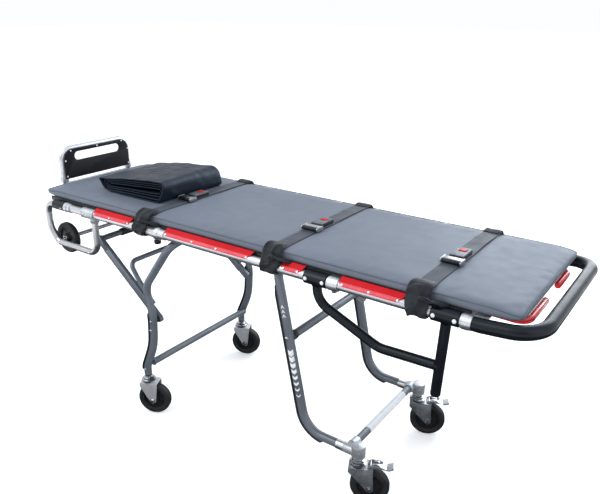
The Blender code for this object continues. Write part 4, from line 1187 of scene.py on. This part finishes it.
def make_cover():
    y0, y1 = COVER_Y
    line = spaced(cover_line(), 0.0075)
    length = sum((b - a).length for a, b in zip(line, line[1:]))
    rows = 44
    bm = bmesh.new()
    grid = []
    travelled = 0.0
    for i, point in enumerate(line):
        if i:
            travelled += (point - line[i - 1]).length
        share = travelled / length
        depth = min(max(share - 0.18, 0.0) * 2.2, 1.0)
        tuck = 0.0035 + 0.012 * depth + 0.003 * wobble((share * 20, 0, 0), 1, 2)
        u, w = point.x / COVER_WIDE, point.y / COVER_TALL
        ends = [below_l.lerp(below_r, u).lerp(above_l.lerp(above_r, u), w)
                for below_l, below_r, above_r, above_l in COVER_CORNERS]
        row = []
        for j in range(rows + 1):
            v = j / rows
            y = y0 + tuck + (y1 - y0 - 2 * tuck) * v
            x, z = ends[0].lerp(ends[1], v)
            z += 0.0050 * w * w * math.sin(math.pi * min(max(u, 0.0), 1.0))
            x += 0.0070 * max(u, 0.0) ** 3 * math.sin(math.pi * min(max(w, 0.0), 1.0))
            outer = 1.0 if share < 0.34 else 0.35
            crease = 1 - abs(wobble((x * 0.5 + y * 0.25, y * 0.35, z), 10, 2.6)) * 3
            z += outer * w * (0.0034 * wobble((x, y * 0.5, z), 8, 1.5) + 0.0016 * max(crease, 0.0)
                              + 0.0014 * wobble((x, y, z), 26, 6.6))
            x += outer * (0.0030 * wobble((x * 0.5, y * 1.2, z * 2), 11, 6.1)
                          + 0.0015 * wobble((x, y * 2, z * 3), 24, 3.3)) * min(w * 4, 1.0)
            y += 0.0018 * wobble((x, y, z), 20, 9.0)
            row.append(bm.verts.new((x, y, max(z, 0.8215 + COVER_THICK / 2))))
        grid.append(row)
    for i in range(len(grid) - 1):
        for j in range(rows):
            bm.faces.new((grid[i][j], grid[i + 1][j], grid[i + 1][j + 1], grid[i][j + 1]))
    cover = piece("cover_sheet", bm, "cover", "deck", ("folded_cover",), angle=180)
    thick = cover.modifiers.new("thickness", "SOLIDIFY")
    thick.thickness = COVER_THICK
    thick.offset = 0.0
    soft = cover.modifiers.new("subdivision", "SUBSURF")
    soft.levels = 1
    baked(cover)
    cover.data.shade_smooth()


# ---------------------------------------------------------------- undercarriages
REAR_Y, REAR_R = 0.2745, 0.0142
FRONT_Y, FRONT_R = 0.215, 0.0145
HINGE_Z = 0.735
REAR_HINGE_X, FRONT_HINGE_X = -0.255, 0.152
REAR_STEM_X, FRONT_STEM_X = -0.432, 0.468
REAR_TRAIL, FRONT_TRAIL = 0.020, 0.040
STRUT_Y = 0.247
STRUT_TOP, STRUT_LOW = Vector((-0.672, 0.658)), Vector((-0.372, 0.412))


def rear_corners(sign):
    y = sign * REAR_Y
    return [(REAR_HINGE_X, y, HINGE_Z), (-0.403, y, 0.540), (-0.374, y, 0.430),
            (-0.382, y, 0.310), (REAR_STEM_X, y, 0.200), (REAR_STEM_X, y, 0.168)]


REAR_BENDS = (0.08, 0.16, 0.24, 0.06)


def make_rear_legs():
    near, far = rear_corners(-1), rear_corners(1)
    bm = bmesh.new()
    add_tube(bm, rounded_path(near[::-1] + far, REAR_BENDS[::-1] + (0.046, 0.046) + REAR_BENDS, 4),
             REAR_R, 40)
    piece("rear_legs_tube", bm, "grey_coat", "rear_legs", ("rear_leg_frame",))
    bm = bmesh.new()
    x, z = -0.409, 0.222
    add_tube(bm, [(x, -REAR_Y + REAR_R * 0.7, z), (x, REAR_Y - REAR_R * 0.7, z)], 0.0125, 36)
    for sign in (-1, 1):
        add_turned(bm, [(0.0120, 0), (0.0150, 0), (0.0128, 0.0040), (0.0120, 0.0055)],
                   (0, -sign, 0), (x, sign * (REAR_Y - REAR_R * 0.72), z), 36)
    piece("rear_cross_bar", bm, "grey_coat", "rear_legs", ("rear_cross_tube",))
    for side, sign in SIDES:
        path = rounded_path(rear_corners(sign), REAR_BENDS, 4)
        strip = [p for p in path if 0.185 < p.z < 0.452]
        make_strip("rear_wear_strip_" + side, strip, REAR_R, Vector((-1, 0, -0.15)), "rear_legs")
        bm = bmesh.new()
        y = sign * REAR_Y
        out = Vector((0, sign, 0))
        for bx, bz in ((-0.3745, 0.412), (-0.3790, 0.375), (REAR_STEM_X, 0.192)):
            add_dome(bm, Vector((bx, y, bz)) + out * REAR_R * 0.97, out, 0.0050, 0.0028)
        piece("rear_leg_bolts_" + side, bm, "zinc", "rear_legs")
        bm = bmesh.new()
        low = Vector((STRUT_LOW.x, sign * 0.2610, STRUT_LOW.y))
        add_rod(bm, 0.0100, low - out * 0.0055, low + out * 0.006, 0.0012, 28)
        piece("stay_bracket_" + side, bm, "plastic", "rear_legs")


def make_strip(name, path, radius, facing, body, half_deg=42, thick=0.0080):
    """A rubber strip along a tube's side that faces the given way, with rounded edges."""
    bm = bmesh.new()
    cells = 10
    outer, inner = [], []
    path = [Vector(p) for p in path]
    for i, point in enumerate(path):
        ahead = (path[min(i + 1, len(path) - 1)] - path[max(i - 1, 0)]).normalized()
        out = (facing - ahead * facing.dot(ahead)).normalized()
        side = ahead.cross(out).normalized()
        over, under = [], []
        for k in range(cells + 1):
            a = math.radians(-half_deg + 2 * half_deg * k / cells)
            way = out * math.cos(a) + side * math.sin(a)
            rim = 0.0014 if k in (0, cells) else 0.0004 if k in (1, cells - 1) else 0.0
            rim = max(rim, 0.0050 if i in (0, len(path) - 1) else 0.0)
            over.append(bm.verts.new(point + way * (radius + thick - rim)))
            under.append(bm.verts.new(point + way * (radius - 0.0006)))
        outer.append(over)
        inner.append(under)
    close_sheet(bm, outer, inner)
    piece(name, bm, "strip", body)


def strut_outline(half, grow=0.0, steps=14):
    along = (STRUT_LOW - STRUT_TOP).normalized()
    across = Vector((-along.y, along.x))
    outline = []
    for centre, facing in ((STRUT_TOP, -1), (STRUT_LOW, 1)):
        for k in range(steps + 1):
            turn = math.pi * (k / steps - 0.5)
            spoke = along * facing * math.cos(turn) + across * facing * math.sin(turn)
            outline.append(tuple(centre + spoke * (half + grow)))
    return outline


def make_stay():
    half, thick = 0.014, 0.016
    along = (STRUT_LOW - STRUT_TOP).normalized()
    across = Vector((-along.y, along.x))
    for side, sign in SIDES:
        bm = bmesh.new()
        low, high = sorted((sign * (STRUT_Y - thick / 2), sign * (STRUT_Y + thick / 2)))
        add_slab(bm, strut_outline(half), "Y", low, high, 0.0022, 3)
        piece("strut_bar_" + side, bm, "grey_coat", "stay", ("strut_" + side,))
        bm = bmesh.new()
        out = Vector((0, sign, 0))
        face = sign * (STRUT_Y + thick / 2)
        for t, r in ((0.0, 0.0062), (0.060, 0.0040), (0.330, 0.0040)):
            at = STRUT_TOP + along * t
            add_dome(bm, (at.x, face - sign * 0.0004, at.y), out, r, 0.0030)
        piece("strut_bolts_" + side, bm, "zinc", "stay")
        bm = bmesh.new()
        start, end = STRUT_TOP + along * 0.045, STRUT_TOP + along * 0.352
        lift = across * (-(half + 0.0016))
        points = [start + lift, end + lift]
        corner = [points[0] - across * 0.0018, points[1] - across * 0.0018,
                  points[1] + across * 0.0018, points[0] + across * 0.0018]
        add_slab(bm, [tuple(p) for p in corner], "Y", low + 0.001, high - 0.001, 0.0010)
        piece("strut_wear_strip_" + side, bm, "strip", "stay")
    bm = bmesh.new()
    reach = STRUT_Y - 0.0003
    top = (STRUT_TOP.x, STRUT_TOP.y)
    add_rod(bm, 0.0110, (top[0], -reach, top[1]), (top[0], reach, top[1]), 0.001, 36)
    piece("stay_top_bar", bm, "grey_coat", "stay", ("strut_bar",))
    bm = bmesh.new()
    add_sleeve(bm, 0.0105, 0.0142, (top[0], -0.150, top[1]), (top[0], 0.150, top[1]), 0.0016)
    for k in range(24):
        y = -0.138 + 0.012 * k
        add_sleeve(bm, 0.0140, 0.0148, (top[0], y - 0.002, top[1]), (top[0], y + 0.002, top[1]),
                   0.0006, 28)
    piece("stay_bar_grip", bm, "strip", "stay")
    bm = bmesh.new()
    add_sleeve(bm, 0.0140, 0.0153, (top[0], -0.030, top[1]), (top[0], 0.004, top[1]), 0.0005)
    piece("stay_bar_tag", bm, "tag", "stay")
    foot = STRUT_TOP + along * 0.335 + across * (half + 0.009 + 0.0003)
    corners = [(foot.x, -STRUT_Y, foot.y), (-0.463, -STRUT_Y, 0.532), (-0.512, -STRUT_Y, 0.602),
               (-0.512, STRUT_Y, 0.602), (-0.463, STRUT_Y, 0.532), (foot.x, STRUT_Y, foot.y)]
    bm = bmesh.new()
    add_tube(bm, rounded_path(corners, (0.06, 0.030, 0.030, 0.06), 5), 0.009, 28)
    piece("stay_bow_tube", bm, "grey_coat", "stay", ("stay_bow",))


def front_x(z):
    return FRONT_HINGE_X + (HINGE_Z - z) * 0.2083


FRONT_FOOT_Z = 0.180
FRONT_END_X = FRONT_STEM_X - 0.052
FRONT_BAR_X = FRONT_STEM_X - 0.025


def make_front_legs():
    knee = front_x(FRONT_FOOT_Z)
    near = [(FRONT_END_X, -FRONT_Y, FRONT_FOOT_Z), (knee, -FRONT_Y, FRONT_FOOT_Z),
            (FRONT_HINGE_X, -FRONT_Y, HINGE_Z)]
    far = [(x, -y, z) for x, y, z in near[::-1]]
    path = rounded_path(near + far, (0.085, 0.040, 0.040, 0.085), 4)
    bm = bmesh.new()
    add_tube(bm, path, FRONT_R, 44)
    piece("front_legs_tube", bm, "grey_coat", "front_legs", ("front_leg_frame",))
    cross_z = 0.503
    bm = bmesh.new()
    reach = FRONT_Y - FRONT_R * 0.7
    cross_x = front_x(cross_z)
    add_tube(bm, [(cross_x, -reach, cross_z), (cross_x, reach, cross_z)], 0.0135, 36)
    piece("front_upper_bar", bm, "grey_coat", "front_legs", ("front_upper_cross",))
    leg_line = Vector((front_x(0.3) - front_x(0.7), 0, -0.4)).normalized()
    for side, sign in SIDES:
        y = sign * FRONT_Y
        out = Vector((0, sign, 0))
        bm = bmesh.new()
        add_sleeve(bm, 0.0130, 0.0158, (cross_x, y - sign * 0.013, cross_z),
                   (cross_x, y - sign * 0.030, cross_z), 0.0012)
        piece("upper_bar_bush_" + side, bm, "strip", "front_legs")
        mirrored = [(x, sign * abs(yy), z) for x, yy, z in
                    rounded_path([near[0], near[1], near[2]], (0.085,), 4)]
        strip = [p for p in mirrored if p[0] < 0.380]
        line = []
        for a, b in zip(strip, strip[1:]):
            steps = max(1, round((Vector(b) - Vector(a)).length / 0.03))
            line += [Vector(a) + (Vector(b) - Vector(a)) * k / steps for k in range(steps)]
        line = [p for p in line if p.z < 0.690]
        make_strip("front_wear_strip_" + side, line, FRONT_R, Vector((-1, 0, -0.25)), "front_legs")
        bm = bmesh.new()
        bolt = Vector((front_x(0.505) - 0.001, y, 0.505))
        add_dome(bm, bolt + out * FRONT_R * 0.97, out, 0.0068, 0.0034)
        add_sleeve(bm, FRONT_R, FRONT_R + 0.0016, (0.389, y, FRONT_FOOT_Z),
                   (0.4165, y, FRONT_FOOT_Z), 0.0008)
        piece("front_leg_fittings_" + side, bm, "aluminium", "front_legs")
        make_marks(side, sign, leg_line)
        make_casting(side, sign)
    # half-round gusset at the upper bar's far end
    bm = bmesh.new()
    gusset = Vector((0.222, FRONT_Y - 0.0190, 0.494))
    add_rod(bm, 0.0220, gusset, gusset + Vector((0, 0.0045, 0)), 0.001, 36)
    piece("upper_bar_gusset", bm, "cast", "front_legs")


def make_marks(side, sign, leg_line):
    """Three small triangles and a row of shrinking chevrons on the leg's outer face."""
    y = sign * FRONT_Y
    across = Vector((leg_line.z, 0, -leg_line.x))
    if across.x < 0:
        across = -across
    radius = FRONT_R + 0.0002
    bm = bmesh.new()

    def skin(z_mid, u, v):
        """A point on the tube's outer face: v along the leg, u round it, in metres."""
        centre = Vector((front_x(z_mid), y, z_mid)) + leg_line * v
        angle = u / FRONT_R + math.radians(18)
        return centre + (Vector((0, sign, 0)) * math.cos(angle) + across * math.sin(angle)) * radius

    def patch(z_mid, corners):
        verts = [bm.verts.new(skin(z_mid, u, v)) for u, v in corners]
        bm.faces.new(verts)

    for k in range(3):
        z = 0.611 - 0.0150 * k
        s = 0.0066
        outer = [(-s, s), (s, s), (0, -s)]
        inner = [(-s * 0.30, s * 0.50), (s * 0.30, s * 0.50), (0, -s * 0.15)]
        for i in range(3):
            j = (i + 1) % 3
            patch(z, [outer[i], outer[j], inner[j], inner[i]])
    z = 0.468
    for k in range(8):
        height = 0.0190 - 0.0021 * k
        half = 0.0096 - 0.0002 * k
        tip = 0.0058
        bars = 6
        for i in range(bars):
            u0 = -half + 2 * half * i / bars
            u1 = -half + 2 * half * (i + 1) / bars
            v0 = tip * (1 - abs(u0) / half)
            v1 = tip * (1 - abs(u1) / half)
            patch(z, [(u0, v0), (u1, v1), (u1, v1 + height), (u0, v0 + height)])
        z -= 0.0222
    mark = piece("leg_marks_" + side, bm, "decal", "front_legs")
    thick = mark.modifiers.new("thickness", "SOLIDIFY")
    thick.thickness = 0.0002
    thick.offset = 1.0


SOCKET_SCREW = [(0, -0.001), (0.0036, -0.001), (0.0036, 0.0006), (0.0030, 0.0010),
                (0.0016, 0.0010), (0.0014, 0.0004), (0, 0.0004)]
LOWER_BAR_Z = 0.193
LOWER_BAR_END = 0.036            # from a leg's middle to the lower bar's end


def make_casting(side, sign):
    y = sign * FRONT_Y
    x = FRONT_STEM_X
    inner = y - sign * LOWER_BAR_END
    bm = bmesh.new()
    add_turned(bm, [(0, 0.1635), (0.0190, 0.1635), (0.0210, 0.1655), (0.0225, 0.172),
                    (0.0225, 0.206), (0.0218, 0.2082), (0.0205, 0.209), (0, 0.209)],
               "Z", (x, y, 0), 44)
    add_turned(bm, [(0.0145, 0), (0.0158, 0), (0.0165, 0.0012), (0.0165, 0.030), (0.0190, 0.045),
                    (0, 0.047)], "X", (FRONT_END_X + 0.0003, y, FRONT_FOOT_Z), 40)
    add_turned(bm, [(0.0125, 0), (0.0158, 0), (0.0165, 0.0012), (0.0165, 0.020), (0.0185, 0.030),
                    (0, 0.032)], (0, sign, 0), (FRONT_BAR_X, inner, LOWER_BAR_Z), 40)
    add_box(bm, (x - 0.030, min(y, y - sign * 0.012) - 0.004, 0.172),
            (x - 0.006, max(y, y - sign * 0.012) + 0.004, 0.2005), 0.004, 3)
    piece("elbow_casting_" + side, bm, "cast", "front_legs",
          ("front_casting_" + side,))
    bm = bmesh.new()
    for sx in (-0.034, -0.046, 0.0):
        top = 0.1965 if sx else 0.209
        add_turned(bm, SOCKET_SCREW, "Z", (x + sx, y, top - 0.0002), 14)
    add_dome(bm, (x + 0.0224 * math.sin(0.6), y - 0.0224 * math.cos(0.6), 0.190),
             (math.sin(0.6), -math.cos(0.6), 0), 0.0034, 0.0016)
    piece("casting_screws_" + side, bm, "zinc", "front_legs")


def make_lower_bar():
    reach = FRONT_Y - LOWER_BAR_END - 0.0003
    x, z = FRONT_BAR_X, LOWER_BAR_Z
    bm = bmesh.new()
    add_tube(bm, [(x, -reach, z), (x, reach, z)], 0.0125, 40)
    piece("front_lower_bar", bm, "grey_coat", "front_legs", ("front_lower_cross",))
    bm = bmesh.new()
    add_sleeve(bm, 0.0124, 0.0130, (x, -0.115, z), (x, 0.135, z), 0.0003, 40)
    piece("reflective_sleeve", bm, "white_tape", "front_legs")


# ---------------------------------------------------------------- wheels and castors
def add_wheel(bm_tyre, bm_hub, at, radius, width, bore, ribs):
    """A tyre with a ribbed tread and a hub with a dished web and spokes, on a Y axle."""
    half = width / 2
    place = Vector(at)
    tread = [(radius * 0.70, -half * 0.86), (radius * 0.76, -half * 0.98), (radius * 0.88, -half),
             (radius * 0.955, -half * 0.90), (radius * 0.985, -half * 0.66),
             (radius, -half * 0.44), (radius, -half * 0.16), (radius * 0.985, -half * 0.12)]
    profile = tread + [(r, -h) for r, h in reversed(tread)]
    profile += [(radius * 0.66, half * 0.80), (radius * 0.66, -half * 0.80), profile[0]]
    start = len(bm_tyre.verts)
    add_turned(bm_tyre, profile, "Y", place, 96)
    bm_tyre.verts.ensure_lookup_table()
    for v in bm_tyre.verts[start:]:
        local = v.co - place
        r = math.hypot(local.x, local.z)
        if radius * 0.95 < r < radius * 0.999:
            angle = math.atan2(local.z, local.x)
            cut = 0.5 + 0.5 * math.cos(angle * ribs)
            shrink = 1 - 0.016 * (cut > 0.5)
            v.co.x = place.x + local.x * shrink
            v.co.z = place.z + local.z * shrink
    face = half * 0.74
    profile = [(bore, half + 0.0010), (bore + 0.0085, half + 0.0010), (bore + 0.0100, half),
               (bore + 0.0112, face - 0.0030), (radius * 0.50, face - 0.0062),
               (radius * 0.60, face - 0.0050), (radius * 0.635, face + 0.0004),
               (radius * 0.690, face + 0.0012), (radius * 0.705, face - 0.0006)]
    loop = profile + [(r, -h) for r, h in reversed(profile)] + [profile[0]]
    add_turned(bm_hub, loop, "Y", place, 72)
    for k in range(6):
        angle = 2 * math.pi * k / 6
        for facing in (-1, 1):
            rib = bmesh.new()
            bmesh.ops.create_cube(rib, size=1.0)
            span = radius * 0.62 - (bore + 0.009)
            bmesh.ops.scale(rib, vec=(span, 0.0035, 0.0030), verts=rib.verts)
            bmesh.ops.bevel(rib, geom=rib.edges[:], offset=0.0008, segments=1, affect="EDGES")
            bmesh.ops.translate(rib, vec=((bore + 0.009) + span / 2, facing * (face - 0.0052), 0),
                                verts=rib.verts)
            bmesh.ops.rotate(rib, cent=(0, 0, 0), matrix=Matrix.Rotation(angle, 3, "Y"),
                             verts=rib.verts)
            bmesh.ops.translate(rib, vec=place, verts=rib.verts)
            merge(bm_hub, rib)


def make_wheel(name, at, radius, width, bore, ribs, body, node):
    tyre, hub = bmesh.new(), bmesh.new()
    add_wheel(tyre, hub, at, radius, width, bore, ribs)
    piece(name + "_tyre", tyre, "rubber", body, (node,))
    piece(name + "_hub", hub, "hub", body)


def make_loading_wheels():
    x, z = -0.883, 0.6185
    for side, sign in SIDES:
        make_wheel("loading_" + side, (x, sign * 0.240, z), 0.0625, 0.026, 0.0083, 0,
                   "loading_wheel_" + side, "loading_wheel_" + side)
    bm = bmesh.new()
    reach = RAIL_Y - LOOP_R - 0.0003
    add_rod(bm, 0.0080, (x, -reach, z), (x, reach, z), 0.0008, 24)
    for sign in (-1, 1):
        for y0, y1, r in ((0.2545, 0.2580, 0.0125), (0.2225, 0.2255, 0.0125),
                          (0.2165, 0.2225, 0.0115)):
            add_rod(bm, r, (x, sign * y0, z), (x, sign * y1, z), 0.0006, 6 if r == 0.0115 else 24)
    piece("loading_axle_rod", bm, "zinc", "deck", ("loading_axle",))


CASTOR_R, CASTOR_WIDTH, CASTOR_RIBS = 0.0635, 0.032, 48
AXLE_R = 0.0065
FORK_TOP, FORK_INNER, FORK_OUTER = 0.1375, 0.0200, 0.0260   # crown height, and |y| of a fork leg
FORK_EYE_R = 0.0125
CROWN_BACK, CROWN_FRONT = 0.029, 0.030   # the crown's reach behind and ahead of the stem
AXLE_WASHER = [(0, -0.001), (0.0098, -0.001), (0.0098, 0.0008), (0.0090, 0.0012), (0, 0.0012)]
AXLE_NUT = [(0, 0), (0.0078, 0.0004), (0.0078, 0.0040), (0.0068, 0.0050), (0.0040, 0.0050),
            (0.0040, 0.0058), (0, 0.0060)]


def fork_side(stem_x, trail, top):
    """The fork leg's outline as (x, z) points, with a rounded eye at the axle."""
    axle_x = stem_x + trail
    radius, end_r = CASTOR_R, FORK_EYE_R
    back, front = stem_x - CROWN_BACK, stem_x + CROWN_FRONT + trail * 0.5
    outline = [(back + 0.002, top), (back, top - 0.003), (back, top - 0.016)]
    for k in range(17):
        turn = math.radians(200 + 150 * k / 16)
        outline.append((axle_x + end_r * math.cos(turn), radius + end_r * math.sin(turn)))
    outline += [(front, top - 0.016), (front, top - 0.003), (front - 0.002, top)]
    return outline


def make_castor(end, side, sign, stem_x, trail, y_abs, stem_top):
    y = sign * y_abs
    body = f"{end}_fork_{side}"
    top, inner, outer, axle_r = FORK_TOP, FORK_INNER, FORK_OUTER, AXLE_R
    radius = CASTOR_R
    axle_x = stem_x + trail
    bm = bmesh.new()
    for facing in (-1, 1):
        low, high = sorted((y + facing * (inner + 0.0022), y + facing * outer))
        add_slab(bm, fork_side(stem_x, trail, top), "Y", low, high, 0.0010)
    back, front = stem_x - CROWN_BACK, stem_x + CROWN_FRONT + trail * 0.5
    add_box(bm, (back, y - outer, top - 0.0040), (front, y + outer, top), 0.0016, 3)
    piece(f"{end}_fork_plates_{side}", bm, "fork_steel" if end == "front" else "satin_steel", body,
          (f"{end}_fork_{side}",))
    bm = bmesh.new()
    add_turned(bm, [(0, top - 0.0006), (0.0255, top - 0.0006), (0.0262, top + 0.0012),
                    (0.0275, top + 0.0035), (0.0275, top + 0.0060), (0.0262, top + 0.0066),
                    (0.0262, top + 0.0076), (0.0275, top + 0.0082), (0.0272, top + 0.0104),
                    (0.0215, top + 0.0130), (0.0210, top + 0.0175), (0.0150, top + 0.0205),
                    (0.0125, top + 0.0212), (0.0125, stem_top), (0, stem_top)],
               "Z", (stem_x, y, 0), 40)
    add_turned(bm, [(0, 0), (0.0165, 0), (0.0165, 0.0040), (0, 0.0040)], "Z",
               (stem_x, y, top + 0.0172), 6)
    for facing in (-1, 1):
        out = Vector((0, facing, 0))
        face = Vector((axle_x, y + facing * outer, radius))
        add_turned(bm, AXLE_WASHER, out, face, 28)
        add_turned(bm, AXLE_NUT, out, face + out * 0.0008, 6)
        add_rod(bm, 0.0095, face - out * 0.0040, face - out * (outer - inner + 0.0035), 0.0006, 20)
    add_rod(bm, axle_r, (axle_x, y - outer, radius), (axle_x, y + outer, radius), 0.0006, 20)
    piece(f"{end}_race_{side}", bm, "chrome", body)
    make_wheel(f"{end}_{side}", (axle_x, y, radius), radius, CASTOR_WIDTH, axle_r + 0.0003,
               CASTOR_RIBS, f"{end}_wheel_{side}", f"{end}_wheel_{side}")


PEDAL_UNDER = 0.1384             # the underside of a brake pedal's plate


def make_pedal(side, sign):
    x, y = FRONT_STEM_X, sign * FRONT_Y
    body = "brake_pedal_" + side
    under = PEDAL_UNDER
    bm = bmesh.new()
    plate = [(x + 0.032, under), (x + 0.072, under), (x + 0.100, under - 0.004),
             (x + 0.1005, under - 0.0018), (x + 0.072, under + 0.0024), (x + 0.032, under + 0.0024)]
    add_slab(bm, plate, "Y", y - 0.0165, y + 0.0165, 0.0006)
    piece("pedal_plate_" + side, bm, "chrome", body, ("brake_pedal_" + side,))
    bm = bmesh.new()
    for facing in (-1, 1):
        low, high = sorted((y + facing * 0.0150, y + facing * 0.0170))
        ear = [(x + 0.034, under + 0.0005), (x + 0.080, under + 0.0005),
               (x + 0.078, under + 0.0050), (x + 0.070, under + 0.0095),
               (x + 0.042, under + 0.0095), (x + 0.034, under + 0.0045)]
        add_slab(bm, ear, "Y", low, high, 0.0006)
    piece("pedal_ears_" + side, bm, "fork_steel", body)
    bm = bmesh.new()
    for facing in (-1, 1):
        low, high = sorted((y + facing * 0.0025, y + facing * 0.0125))
        spring = rounded_outline((x + 0.050, under + 0.0020), (x + 0.070, under + 0.0108),
                                 0.0030, 4)
        add_slab(bm, spring, "Y", low, high, 0.0008)
    add_rod(bm, 0.0026, (x + 0.041, y - 0.0168, under + 0.0060),
            (x + 0.041, y + 0.0168, under + 0.0060), 0.0004, 14)
    piece("pedal_springs_" + side, bm, "chrome", body)
    bm = bmesh.new()
    toe = [(x + 0.092, under - 0.0036), (x + 0.103, under - 0.0032), (x + 0.1125, under + 0.0010),
           (x + 0.1140, under + 0.0080), (x + 0.1085, under + 0.0078), (x + 0.1000, under + 0.0030),
           (x + 0.092, under + 0.0022)]
    add_slab(bm, toe, "Y", y - 0.0155, y + 0.0155, 0.0012)
    for k in range(5):
        yy = y - 0.0115 + 0.0058 * k
        rib = [(x + 0.0985, under + 0.0018), (x + 0.1080, under + 0.0070),
               (x + 0.1095, under + 0.0062), (x + 0.1000, under + 0.0008)]
        add_slab(bm, rib, "Y", yy - 0.0012, yy + 0.0012, 0.0004)
    piece("pedal_toe_" + side, bm, "cast", body)


CASTOR_TURN = math.radians(25)   # how far the castors are swivelled at rest
# end, stem x, trail, |y| and the top of the stem
CASTORS = (("rear", REAR_STEM_X, REAR_TRAIL, REAR_Y, 0.1677),
           ("front", FRONT_STEM_X, FRONT_TRAIL, FRONT_Y, 0.1632))


def make_castors():
    for side, sign in SIDES:
        for end, stem_x, trail, y, stem_top in CASTORS:
            before = set(bpy.data.objects)
            make_castor(end, side, sign, stem_x, trail, y, stem_top)
            if end == "front":
                make_pedal(side, sign)
            stem = Vector((stem_x, sign * y, 0))
            turn = (Matrix.Translation(stem) @ Matrix.Rotation(CASTOR_TURN, 4, "Z")
                    @ Matrix.Translation(-stem))
            for made in set(bpy.data.objects) - before:
                made.data.transform(turn)


# ---------------------------------------------------------------- studio
def make_studio():
    floor_mesh = bpy.data.meshes.new("floor")
    size = 40.0
    floor_mesh.from_pydata([(-size, -size, 0), (size, -size, 0), (size, size, 0), (-size, size, 0)],
                           [], [(0, 1, 2, 3)])
    floor = bpy.data.objects.new("floor", floor_mesh)
    bpy.context.scene.collection.objects.link(floor)
    paint = Nodes("floor")
    paint.shader.inputs["Base Color"].default_value = (0.93, 0.93, 0.93, 1.0)
    paint.shader.inputs["Roughness"].default_value = 0.9
    paint.shader.inputs["Specular IOR Level"].default_value = 0.1
    paint.shader.inputs["Emission Color"].default_value = (1.0, 1.0, 1.0, 1.0)
    paint.shader.inputs["Emission Strength"].default_value = 0.35
    floor_mesh.materials.append(paint.material)
    make_flag()
    make_world()
    for name, at, aim, energy, size, colour in LIGHTS:
        light = bpy.data.lights.new(name, "AREA")
        light.energy = energy
        light.size = size
        light.color = colour
        lamp = bpy.data.objects.new(name, light)
        bpy.context.scene.collection.objects.link(lamp)
        lamp.visible_camera = False
        lamp.location = at
        lamp.rotation_mode = "QUATERNION"
        lamp.rotation_quaternion = (Vector(aim) - Vector(at)).to_track_quat("-Z", "Y")
    bpy.context.scene.view_settings.view_transform = "Standard"


def make_flag():
    """A dark card low down that only glossy surfaces see, so tubes darken on their undersides."""
    mesh = bpy.data.meshes.new("flag")
    x0, x1, y0, y1 = -1.9, 2.4, -1.75, 1.9
    mesh.from_pydata([(x0, y0, 0), (x1, y0, 0), (x1, y1, 0), (x0, y1, 0)], [], [(0, 1, 2, 3)])
    card = bpy.data.objects.new("flag", mesh)
    bpy.context.scene.collection.objects.link(card)
    card.location.z = 0.0015
    card.visible_camera = card.visible_diffuse = card.visible_shadow = False
    paint = Nodes("flag")
    paint.shader.inputs["Base Color"].default_value = (0.06, 0.065, 0.07, 1.0)
    paint.shader.inputs["Roughness"].default_value = 1.0
    paint.shader.inputs["Specular IOR Level"].default_value = 0.0
    mesh.materials.append(paint.material)


LIGHTS = (("key", (-1.6, -2.2, 3.4), (0, 0, 0.5), 55, 2.4, (1.0, 0.99, 0.97)),
          ("back", (0.5, 2.7, 2.0), (0.4, 0, 0.8), 60, 2.2, (0.88, 0.94, 1.0)),
          ("fill", (3.2, -1.0, 2.4), (0.2, 0, 0.5), 12, 2.5, (1.0, 1.0, 1.0)))


def make_world():
    """A pale studio all round, with a darker band low down on the camera's side for the metals."""
    world = bpy.data.worlds.new("world")
    world.use_nodes = True
    tree = world.node_tree
    back = tree.nodes["Background"]
    where = tree.nodes.new("ShaderNodeTexCoord").outputs["Generated"]

    def facing(direction, start, end):
        dot = tree.nodes.new("ShaderNodeVectorMath")
        dot.operation = "DOT_PRODUCT"
        tree.links.new(where, dot.inputs[0])
        dot.inputs[1].default_value = direction
        span = tree.nodes.new("ShaderNodeMapRange")
        span.interpolation_type = "SMOOTHSTEP"
        tree.links.new(dot.outputs["Value"], span.inputs["Value"])
        span.inputs["From Min"].default_value = start
        span.inputs["From Max"].default_value = end
        return span.outputs["Result"]

    def mixed(mask, one, two):
        node = tree.nodes.new("ShaderNodeMix")
        node.data_type = "RGBA"
        tree.links.new(mask, node.inputs["Factor"])
        for socket, value in ((node.inputs[6], one), (node.inputs[7], two)):
            if isinstance(value, tuple):
                socket.default_value = (*value, 1.0)
            else:
                tree.links.new(value, socket)
        return node.outputs[2]

    sky = mixed(facing((0, 0, 1), 0.05, 0.9), (0.98, 0.99, 1.00), (0.86, 0.93, 1.05))
    sky = mixed(facing((0.50, -0.84, 0.20), 0.70, 0.96), sky, (0.45, 0.47, 0.50))
    tree.links.new(sky, back.inputs["Color"])
    back.inputs["Strength"].default_value = 1.0
    bpy.context.scene.world = world


make_camera()
make_studio()
make_rails()
make_guards()
make_foot_loop()
make_head_loops()
make_rail_fittings()
make_post()
make_cross_members()
make_gap_shade_strips()
make_handle()
make_levers()
make_mattress()
make_belts()
make_buckles()
make_cover()
make_rear_legs()
make_stay()
make_front_legs()
make_lower_bar()
make_loading_wheels()
make_castors()
